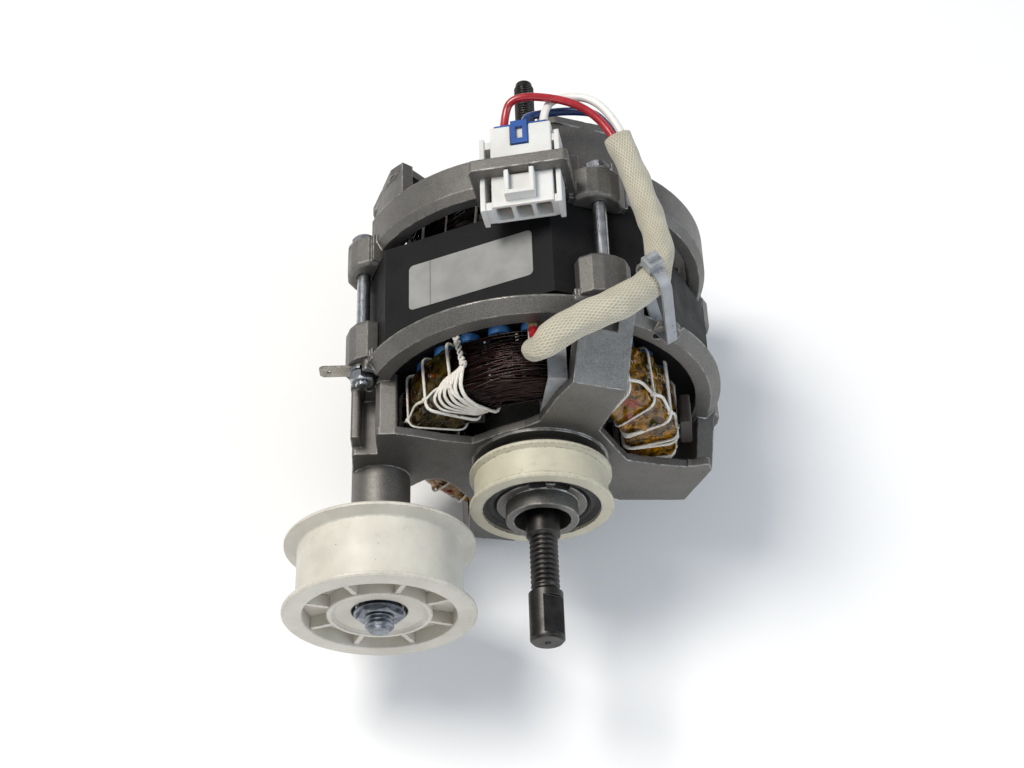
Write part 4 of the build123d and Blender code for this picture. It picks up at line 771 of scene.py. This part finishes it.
def end_turn(route, radius, bend, angle_from, angle_to, plane_y, outward):
    """Leads the route from one slot to another over one end of the stack."""
    middle = (angle_from + angle_to) / 2
    half = math.radians(abs(angle_to - angle_from) / 2)
    side = 1 if angle_to > angle_from else -1
    route.line(slot_point(radius, angle_from, plane_y - outward * bend))
    axial = np.array((0.0, outward, 0.0))
    tx, tz = polar(1, angle_from + STATOR_ROLL + 90 * side)
    tangent = np.array((tx, 0.0, tz))
    route.arc(route.points[-1] + tangent * bend, -bend * tangent, bend * axial, math.pi / 2)
    cx, cz = polar(bend / math.sin(half), middle + STATOR_ROLL)
    centre = np.array((cx, plane_y, cz))
    ex, ez = polar(radius, angle_to + STATOR_ROLL)
    route.arc(centre, route.points[-1] - centre, np.array((ex, 0.0, ez)), 2 * half)
    sx, sz = polar(1, angle_to + STATOR_ROLL - 90 * side)
    back = np.array((sx, 0.0, sz))
    route.arc(route.points[-1] - axial * bend, bend * axial, -bend * back, math.pi / 2)


def coils():
    """End turns in order: (slot from, slot to, level, end), end -1 front and 1 rear."""
    turns = []
    angles = [22.5, 37.5, 52.5, 67.5, 82.5]
    for k, angle in enumerate(angles):
        turns.append((-angle, angle, k, 1))
        if k < 4:
            turns.append((angle, -angles[k + 1], k, -1))
    turns.append((82.5, 97.5, 0, -1))
    for k in range(4, -1, -1):
        turns.append((180 - angles[k], 180 + angles[k], k, 1))
        if k > 0:
            turns.append((180 + angles[k], 180 - angles[k - 1], k - 1, -1))
    return turns


def winding_line(radius, bend, quarter):
    """Line of one winding of ten loops laid in two poles."""
    stub = STACK_FRONT - 2.0
    turns = coils()
    route = Wound(slot_point(radius, turns[0][0] + quarter, stub))
    for angle_from, angle_to, level, end in turns:
        face = STACK_BACK if end > 0 else STACK_FRONT
        plane_y = face + end * (TURN_START + TURN_PITCH * level)
        end_turn(route, radius, bend, angle_from + quarter, angle_to + quarter, plane_y, end)
    route.line(slot_point(radius, turns[-1][1] + quarter, stub))
    return np.array(route.points)


def winding(name, node, look, line, radius, wire, strands, seed):
    """A bundle of wires laid side by side round the winding's line."""
    _, sides, ups = carried_frames(line)
    steps = np.linalg.norm(np.diff(line, axis=0), axis=1)
    along = np.concatenate([[0.0], np.cumsum(steps)])
    shape = Shape()
    section = ring_section(wire / 2, 5)
    ring = radius - wire / 2
    inside = (line[:, 1] > STACK_FRONT - 3) & (line[:, 1] < STACK_BACK + 3)
    for k in range(strands):
        angle = 2 * math.pi * k / strands + along / 38.0 + 0.25 * wander(seed + k, len(line), 9.0)
        out = ring + 0.16 * wander(seed + 60 + k, len(line), 5.0)
        out = np.where(inside, np.minimum(out, ring), out)
        points = line + sides * (out * np.cos(angle))[:, None] + ups * (out * np.sin(angle))[:, None]
        shape.tube(points, section)
    piece = shape.make(name, look)
    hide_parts(node)


main_line = winding_line(MAIN_R, MAIN_BEND, 0.0)
aux_line = winding_line(AUX_R, AUX_BEND, 90.0)
main_r = MAIN_D / 2 + MAIN_SWELL
aux_r = AUX_D / 2 + AUX_SWELL
winding("winding_main", "main_winding", WIRE_MAIN, main_line, main_r, MAIN_WIRE, MAIN_STRANDS, 1)
winding("winding_aux", "aux_winding", WIRE_AUX, aux_line, aux_r, AUX_WIRE, AUX_STRANDS, 101)


def outline_walk(share, inner, outer, near, far):
    """Point (radius, y) at a share of the way round the end turns' section, inner near to outer near."""
    deep = abs(far - near)
    wide = outer - inner
    whole = 2 * deep + wide
    way = share * whole
    sign = 1 if far > near else -1
    if way < deep:
        return inner, near + sign * way
    if way < deep + wide:
        return inner + way - deep, far
    return outer, far - sign * (way - deep - wide)


def skin(name, look, seed, near, far, spans):
    """Wires that run round the outside of the end turns and hold the loops together.

    Each span is its middle angle, half its width, its count of wires and its outer radius.
    """
    random.seed(seed)
    shape = Shape()
    section = ring_section(SKIN_WIRE_R, 5)
    for middle, half, count, outer in spans:
        for k in range(count):
            start = middle - half * random.uniform(0.75, 1.05)
            stop = middle + half * random.uniform(0.75, 1.05)
            share = (k + random.uniform(0.2, 0.8)) / count
            steps = int((stop - start) / 3.0)
            drift = 0.045 * wander(seed + k, steps + 1, 11.0)
            lift = 0.5 * wander(seed + 200 + k, steps + 1, 6.0)
            points = []
            for i in range(steps + 1):
                angle = start + (stop - start) * i / steps
                at = min(1.0, max(0.0, 0.36 + 0.62 * share + drift[i]))
                radius, y = outline_walk(at, SKIN_INNER_R, outer + lift[i], near, far - 0.8 * lift[i])
                end = min(i, steps - i) / 3.0
                sunk = 1.6 * max(0.0, 1.0 - end)
                x, z = polar(radius - sunk, angle)
                points.append((x, y + (near - y) * 0.08 * sunk, z))
            shape.tube(points, section)
    shape.make(name, look)


FRONT_SPANS = [(112, 68, 84, 46.6), (295, 70, 34, 45.0)]
REAR_SPANS = [(70, 95, 44, 46.2), (250, 95, 44, 46.2)]
skin("winding_front_skin", WIRE_MAIN, 5, STACK_FRONT - 4.2, FRONT_TOP + 0.5, FRONT_SPANS)
skin("winding_rear_skin", WIRE_MAIN, 6, STACK_BACK + 4.2, REAR_TOP - 0.5, REAR_SPANS)


# Lacing


def lace_corners(angle, near, far, sunk=0.0, lean=12.0):
    """Way of one loop round the end turns: inner near, inner far, outer far, outer near."""
    inward = sunk if far > near else -sunk
    corners = [
        (LACE_INNER_R, near, 0.0),
        (LACE_INNER_R, far - inward, lean * 0.25),
        (LACE_OUTER_R - 1.6 * sunk, far - inward, lean),
        (LACE_OUTER_R - 1.6 * sunk, near, lean * 1.25),
    ]
    points = []
    for radius, y, ahead in corners:
        x, z = polar(radius, angle + ahead)
        points.append(np.array((x, y, z)))
    return points


def rounded(points, radius, steps=4):
    """A line through corners, each cut by a smooth curve."""
    out = [points[0]]
    for k in range(1, len(points) - 1):
        back = points[k - 1] - points[k]
        ahead = points[k + 1] - points[k]
        cut = min(radius, 0.45 * np.linalg.norm(back), 0.45 * np.linalg.norm(ahead))
        a = points[k] + unit(back) * cut
        b = points[k] + unit(ahead) * cut
        for i in range(steps + 1):
            t = i / steps
            out.append((1 - t) ** 2 * a + 2 * t * (1 - t) * points[k] + t**2 * b)
    out.append(points[-1])
    return np.array(out)


def knot(shape, at, size, seed):
    """A small overhand knot: a short closed coil of cord."""
    a = np.linspace(0, 2 * math.pi, 15)
    turn = seed * 1.7
    wrap = np.stack(
        [
            size * 0.55 * np.cos(2 * a + turn),
            size * 0.35 * np.sin(3 * a + turn),
            size * 0.55 * np.sin(2 * a + turn) * (1 + 0.3 * np.cos(a)),
        ],
        axis=1,
    )
    shape.tube(at + wrap, flat_section(LACE_WIDTH * 0.8, LACE_THICK * 0.9, 6))


def turned_points(rows):
    """Points from (angle, radius, y)."""
    points = []
    for angle, radius, y in rows:
        x, z = polar(radius, angle)
        points.append(np.array((x, y, z)))
    return points


def front_wraps(shape):
    """Close wraps that fan out from one knot, the twisted cord above it, and short extra loops."""
    top = FRONT_TOP
    for k in range(WRAPS):
        fan = 123.5 + 2.9 * k
        rows = [
            (121.6 + 0.5 * k, 49.4, top + 9.6 - 0.5 * k),
            (122.2 + 1.7 * k, 49.7, top + 6.2),
            (fan, 49.2, top + 1.2),
            (fan + 0.4, 45.6, top - 1.6),
            (123.0 + 0.75 * (fan - 123.0), 40.5, top - 1.9),
            (124.0 + 1.1 * k, 34.5, top - 1.5),
            (124.5 + 0.9 * k, 30.4, top + 0.6),
            (124.5 + 0.9 * k, 29.9, top + 6.0),
        ]
        line = evenly(rounded(turned_points(rows), 3.0), 0.9)
        shape.tube(line, flat_section(LACE_WIDTH * 1.1, LACE_THICK * 0.8))
    for strand in range(2):
        rows = []
        for i in range(30):
            share = i / 29
            a = 2 * math.pi * 2.6 * share + math.pi * strand
            angle = 121.8 + 3.2 * share + 0.85 * math.cos(a)
            rows.append((angle, 49.4 + 0.55 * math.sin(a), top + 9.4 + 12.0 * share))
        shape.tube(turned_points(rows), flat_section(LACE_WIDTH, LACE_THICK))
    knot(shape, turned_points([(121.6, 49.5, top + 9.4)])[0], 1.7, 3)
    for angle in EXTRA_LOOPS:
        line = rounded(lace_corners(angle, STACK_FRONT - 1.6, top - 1.35, lean=7.0), 4.2, 6)
        shape.tube(evenly(line, 1.2), flat_section(LACE_WIDTH, LACE_THICK))


def lacing(name, node, near, far, sunken, more=None):
    """Cord laced round the end turns, with knots along its outer edge."""
    shape = Shape()
    points = []
    for k in range(SLOTS):
        sunk = LACE_SUNK if k in sunken else 0.0
        points += lace_corners(STATOR_ROLL + SLOT_PITCH * k, near, far, sunk)
    line = evenly(rounded(points, 3.3), 1.3)
    shape.tube(line, flat_section(LACE_WIDTH, LACE_THICK))
    out = 1 if far > near else -1
    shoulder = far - out * 3.6
    knots = []
    for k in range(SLOTS + 1):
        angle = STATOR_ROLL + SLOT_PITCH * k + 13.0
        knots.append((angle, LACE_OUTER_R - 0.1, shoulder + 0.8 * math.sin(2.1 * k)))
    for k in range(SLOTS):
        if k not in sunken:
            knot(shape, turned_points([knots[k]])[0], 1.3, k)
    for k in range(SLOTS):
        if k in sunken or (k + 1) % SLOTS in sunken:
            continue
        sag = (knots[k][0] + SLOT_PITCH / 2, LACE_OUTER_R + 0.1, shoulder - out * 2.2)
        chain = turned_points([knots[k], sag, knots[k + 1]])
        shape.tube(evenly(rounded(chain, 2.0), 1.2), flat_section(LACE_WIDTH, LACE_THICK))
    if more:
        more(shape)
    piece = shape.make(name, CORD)
    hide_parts(node)


lacing(
    "lacing_front", "front_lacing", STACK_FRONT - 1.6, FRONT_TOP - 1.25, SUNKEN_LOOPS, front_wraps
)
lacing("lacing_rear", "rear_lacing", STACK_BACK + 1.6, REAR_TOP + 1.25, ())


# Insulation sheets and film


def crumple(point, size, depth):
    """Ridged relief of creased film at a point."""
    p = Vector(point) / size
    ridge = 1.0 - abs(noise.noise(p)) * 2.0
    fine = 1.0 - abs(noise.noise(p * 2.3 + Vector((4.0, 1.0, 7.0)))) * 2.0
    return depth * (0.7 * ridge + 0.3 * fine - 0.6)


def thin_sheet(name, node, look, folds, thick):
    """Sheets given as rows of points, with a thickness; node is what they replace, if anything."""
    shape = Shape()
    for rows in folds:
        shape.grid(rows, wrap_columns=False)
    piece = shape.make(name, look)
    solid = piece.modifiers.new("thickness", "SOLIDIFY")
    solid.thickness = thick * MM
    solid.offset = 0.0
    if node:
        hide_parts(node)


def barrier_rows(near, far, seed):
    """Wavy band between the two windings' end turns."""
    rows = []
    for i in range(241):
        angle = i * 1.5
        row = []
        for k in range(9):
            share = k / 8
            wave = 0.22 * math.sin(math.radians(angle * 24) + seed)
            radius = BARRIER_R + wave + 0.15 * noise.noise(Vector((i * 0.11, k * 0.4, seed)))
            edge = 0.4 * noise.noise(Vector((i * 0.05, seed, 2.0))) if k == 8 else 0.0
            y = near + (far - near) * share + edge
            x, z = polar(radius, angle)
            row.append((x, y, z))
        rows.append(row)
    return rows


barriers = [
    barrier_rows(STACK_FRONT - 3.9, FRONT_TOP + 0.6, 1.0),
    barrier_rows(STACK_BACK + 3.9, REAR_TOP - 0.6, 2.0),
]
thin_sheet("phase_sheets", "phase_insulation", SHEET, barriers, BARRIER_THICK)


def film_rows(middle, half):
    """Crumpled film folded over the front end turns between two angles."""
    near = STACK_FRONT - 4.2
    far = FRONT_TOP - 0.5
    fold = [(30.85, near), (30.85, far + 1.9), (31.4, far + 0.6), (32.7, far + 0.1)]
    fold += [(46.6, far + 0.1), (47.7, far + 0.7), (48.1, far + 1.9), (48.1, near)]
    fold = evenly([(r, y, 0.0) for r, y in fold], 0.7)
    rows = []
    steps = int(2 * half / 0.9)
    for i in range(steps + 1):
        angle = middle - half + 2 * half * i / steps
        row = []
        for k, (radius, y, _) in enumerate(fold):
            before = fold[max(0, k - 1)]
            after = fold[min(len(fold) - 1, k + 1)]
            run = after - before
            normal = np.array((-run[1], run[0]))
            normal = normal / max(1e-6, np.linalg.norm(normal))
            x, z = polar(radius, angle)
            lift = min(CRUMPLE_TOP, crumple((x, y, z), CRUMPLE_SIZE, CRUMPLE_DEPTH))
            x, z = polar(radius + normal[0] * lift, angle)
            row.append((x, y + normal[1] * lift, z))
        rows.append(row)
    return rows


film_folds = [film_rows(10, 42), film_rows(214, 21)]
thin_sheet("film_wrap", "end_film", FILM, film_folds, FILM_THICK)
# The left film takes the darker copy of the film as painted shade.
thin_sheet("film_left", None, FILM_PAINTED_SHADE, [film_rows(158, 29)], FILM_THICK)


# Leads and their sleeve


def nurbs(name, points):
    """A smooth open curve with given control points."""
    data = bpy.data.curves.new(name, "CURVE")
    data.dimensions = "3D"
    data.resolution_u = 12
    spline = data.splines.new("NURBS")
    spline.points.add(len(points) - 1)
    for target, point in zip(spline.points, points):
        target.co = (*[c * MM for c in point], 1.0)
    spline.order_u = 3
    spline.use_endpoint_u = True
    curve = bpy.data.objects.new(name, data)
    bpy.context.scene.collection.objects.link(curve)
    return curve


def followed(points):
    """Points read along the smooth curve of a route, in millimetres."""
    curve = nurbs("route", points)
    bpy.context.view_layer.update()
    mesh = bpy.data.meshes.new_from_object(curve)
    line = np.array([v.co for v in mesh.vertices], float).reshape(-1, 3) / MM
    bpy.data.meshes.remove(mesh)
    bpy.data.objects.remove(curve)
    return line


def channel_point(channel, y):
    """Point on the axis of one of the connector's channels."""
    a = math.radians(CONNECTOR_ROLL)
    s = CHANNELS[channel]
    x = s * math.cos(a) - CONNECTOR_HEIGHT * math.sin(a)
    z = s * math.sin(a) + CONNECTOR_HEIGHT * math.cos(a)
    return (x, y, z)


def beside(points, aside):
    """Corners of a path that runs beside another path."""
    direction = unit(points[1] - points[0])
    shift = aside - direction * np.dot(aside, direction)
    moved = [points[0] + shift]
    for k in range(1, len(points) - 1):
        ahead = unit(points[k + 1] - points[k])
        turn = math.acos(np.dot(direction, ahead))
        inward = unit(ahead - direction * np.dot(ahead, direction))
        binormal = unit(np.cross(direction, ahead))
        a = np.dot(shift, inward)
        b = np.dot(shift, binormal)
        moved.append(points[k] + b * binormal + a * inward - a * math.tan(turn / 2) * direction)
        shift = a * (math.cos(turn) * inward - math.sin(turn) * direction) + b * binormal
        direction = ahead
    moved.append(points[-1] + shift)
    return moved


# Each lead: channel, finish, corners on its way, how far back it meets the sleeve's line,
# and where it lies in the sleeve
LEADS = {
    "red": (0, LEAD_RED, [(-6.5, 116.5, 77.0)], 13.0, 30.0),
    "blue": (1, LEAD_BLUE, [(0.8, 112.8, 69.0), (13.5, 114.2, 69.2)], 11.0, 270.0),
    "white": (2, LEAD_WHITE, [(8.0, 118.0, 72.8)], 15.0, 150.0),
}


def leads():
    """The three leads, from the connector through the sleeve to the splices beside the windings."""
    path = np.array(SLEEVE_PATH)
    last_run = unit(path[-1] - path[-2])
    turn_point = path[-1] + last_run * (LEAD_LEVEL - path[-1][2]) / last_run[2]
    path = [*path[:-1], turn_point, np.array((turn_point[0], LEAD_END, LEAD_LEVEL))]
    first_run = unit(path[1] - path[0])
    side_way = unit(np.cross(first_run, (0.0, 0.0, 1.0)))
    up_way = np.cross(side_way, first_run)
    for colour, (channel, look, crests, back, place) in LEADS.items():
        across, up = ring_section(LEAD_SPREAD, 1, math.radians(place))[0]
        inner = beside(path, across * side_way + up * up_way)
        route = [channel_point(channel, CRIMP_Y), channel_point(channel, HOUSING_BACK + LEAD_STRAIGHT)]
        route += [*crests, inner[0] - back * first_run, *inner[1:]]
        shape = Shape()
        shape.tube(evenly(followed(route), 0.8), ring_section(LEAD_D / 2, 16))
        piece = shape.make("wire_" + colour, look)
        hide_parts("lead_" + colour)


leads()


def sleeve():
    """Woven tube, flattened where it lies on the bracket and drawn in at the tie."""
    line = evenly(followed(SLEEVE_PATH), 0.6)
    tangents, _, _ = carried_frames(line)
    steps = np.linalg.norm(np.diff(line, axis=0), axis=1)
    along = np.concatenate([[0.0], np.cumsum(steps)])
    whole = along[-1]
    tie_at = along[np.argmin(np.linalg.norm(line - np.array(SLEEVE_PATH[TIE_CORNER]), axis=1))]
    around = np.linspace(0, 2 * math.pi, SLEEVE_COLUMNS, endpoint=False)
    rows = []
    for k, (point, tangent) in enumerate(zip(line, tangents)):
        out = np.array((point[0], 0.0, point[2]))
        up = unit(out - tangent * np.dot(out, tangent))
        side = np.cross(tangent, up)
        share = along[k] / whole
        pinch = math.exp(-(((along[k] - tie_at) / 3.2) ** 2))
        flat = 0.16 * min(1.0, max(0.0, (share - 0.55) / 0.15))
        slim = 0.13 * min(1.0, max(0.0, (0.50 - share) / 0.12))
        width = SLEEVE_R * (1.02 - slim + 0.6 * flat - 0.12 * pinch)
        height = SLEEVE_R * (0.94 - flat - 0.10 * pinch)
        frayed = 0.25 * max(0.0, 1 - along[k] / 3.0) + 0.25 * max(0.0, 1 - (whole - along[k]) / 3.0)
        row = []
        for a in around:
            sag = 0.14 * noise.noise(Vector((along[k] / 7.0, math.cos(a) * 1.3, math.sin(a) * 1.3)))
            fold = pinch * 0.22 * math.cos(7 * a)
            grow = 1.0 + sag + frayed / SLEEVE_R - fold * 0.12
            row.append(point + side * width * grow * math.cos(a) + up * height * grow * math.sin(a))
        rows.append(row)
    yarns = np.linspace(0.0, YARNS_AROUND, SLEEVE_COLUMNS + 1)
    shape = Shape()
    shape.grid(rows, uv=(along, yarns))
    piece = shape.make("sleeve_woven", SLEEVE)
    solid = piece.modifiers.new("thickness", "SOLIDIFY")
    solid.thickness = SLEEVE_WALL * MM
    solid.offset = -1.0
    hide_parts("lead_sleeve")


sleeve()


# Floor, light and camera


def floor():
    """Plain pale floor under the lowest point."""
    half = 3.0
    low = cad_low[2]
    mesh = bpy.data.meshes.new("floor")
    corners = [(-half, -half, low), (half, -half, low), (half, half, low), (-half, half, low)]
    mesh.from_pydata(corners, [], [(0, 1, 2, 3)])
    look = Look("floor_pale", rough=0.9)
    cloud = look.noise(400.0, 2.0)
    mesh.materials.append(look.done(look.mix(cloud, (0.86, 0.86, 0.86), (0.90, 0.90, 0.90))))
    plane = bpy.data.objects.new("floor", mesh)
    bpy.context.scene.collection.objects.link(plane)


def lamp(name, place, target, size, power, colour):
    """Soft square light aimed at a point."""
    data = bpy.data.lights.new(name, "AREA")
    data.shape = "SQUARE"
    data.size = size
    data.energy = power
    data.color = colour
    light = bpy.data.objects.new(name, data)
    light.location = place
    light.rotation_euler = (Vector(target) - Vector(place)).to_track_quat("-Z", "Y").to_euler()
    bpy.context.scene.collection.objects.link(light)


def studio():
    """Pale surroundings and three soft lights."""
    world = bpy.data.worlds.new("studio")
    world.use_nodes = True
    world.node_tree.nodes["Background"].inputs["Color"].default_value = (0.93, 0.95, 1.0, 1.0)
    world.node_tree.nodes["Background"].inputs["Strength"].default_value = 0.40
    bpy.context.scene.world = world
    centre = (0.0, 0.05, 0.0)
    lamp("key", (-0.55, 0.25, 1.1), centre, 0.45, 14.0, (1.0, 0.97, 0.91))
    lamp("fill", (0.9, -0.3, 0.6), centre, 0.7, 5.0, (0.74, 0.86, 1.0))
    lamp("front", (-0.2, -1.2, 0.45), centre, 0.7, 3.0, (1.0, 1.0, 1.0))


def camera():
    """The photograph's camera."""
    data = bpy.data.cameras.new("camera")
    data.sensor_width = SENSOR
    data.lens = FOCAL_PX / IMAGE_WIDTH_PX * SENSOR
    data.clip_start = 0.01
    data.clip_end = 20.0
    seat = bpy.data.objects.new("camera", data)
    seat.location = [c * MM for c in CAMERA_AT]
    az = math.radians(CAMERA_AZIMUTH)
    el = math.radians(CAMERA_ELEVATION)
    back = Vector((math.sin(az) * math.cos(el), -math.cos(az) * math.cos(el), math.sin(el)))
    seat.rotation_mode = "QUATERNION"
    seat.rotation_quaternion = (-back).to_track_quat("-Z", "Y")
    bpy.context.scene.collection.objects.link(seat)
    bpy.context.scene.camera = seat


floor()
studio()
camera()
bpy.context.scene.view_settings.view_transform = "Standard"
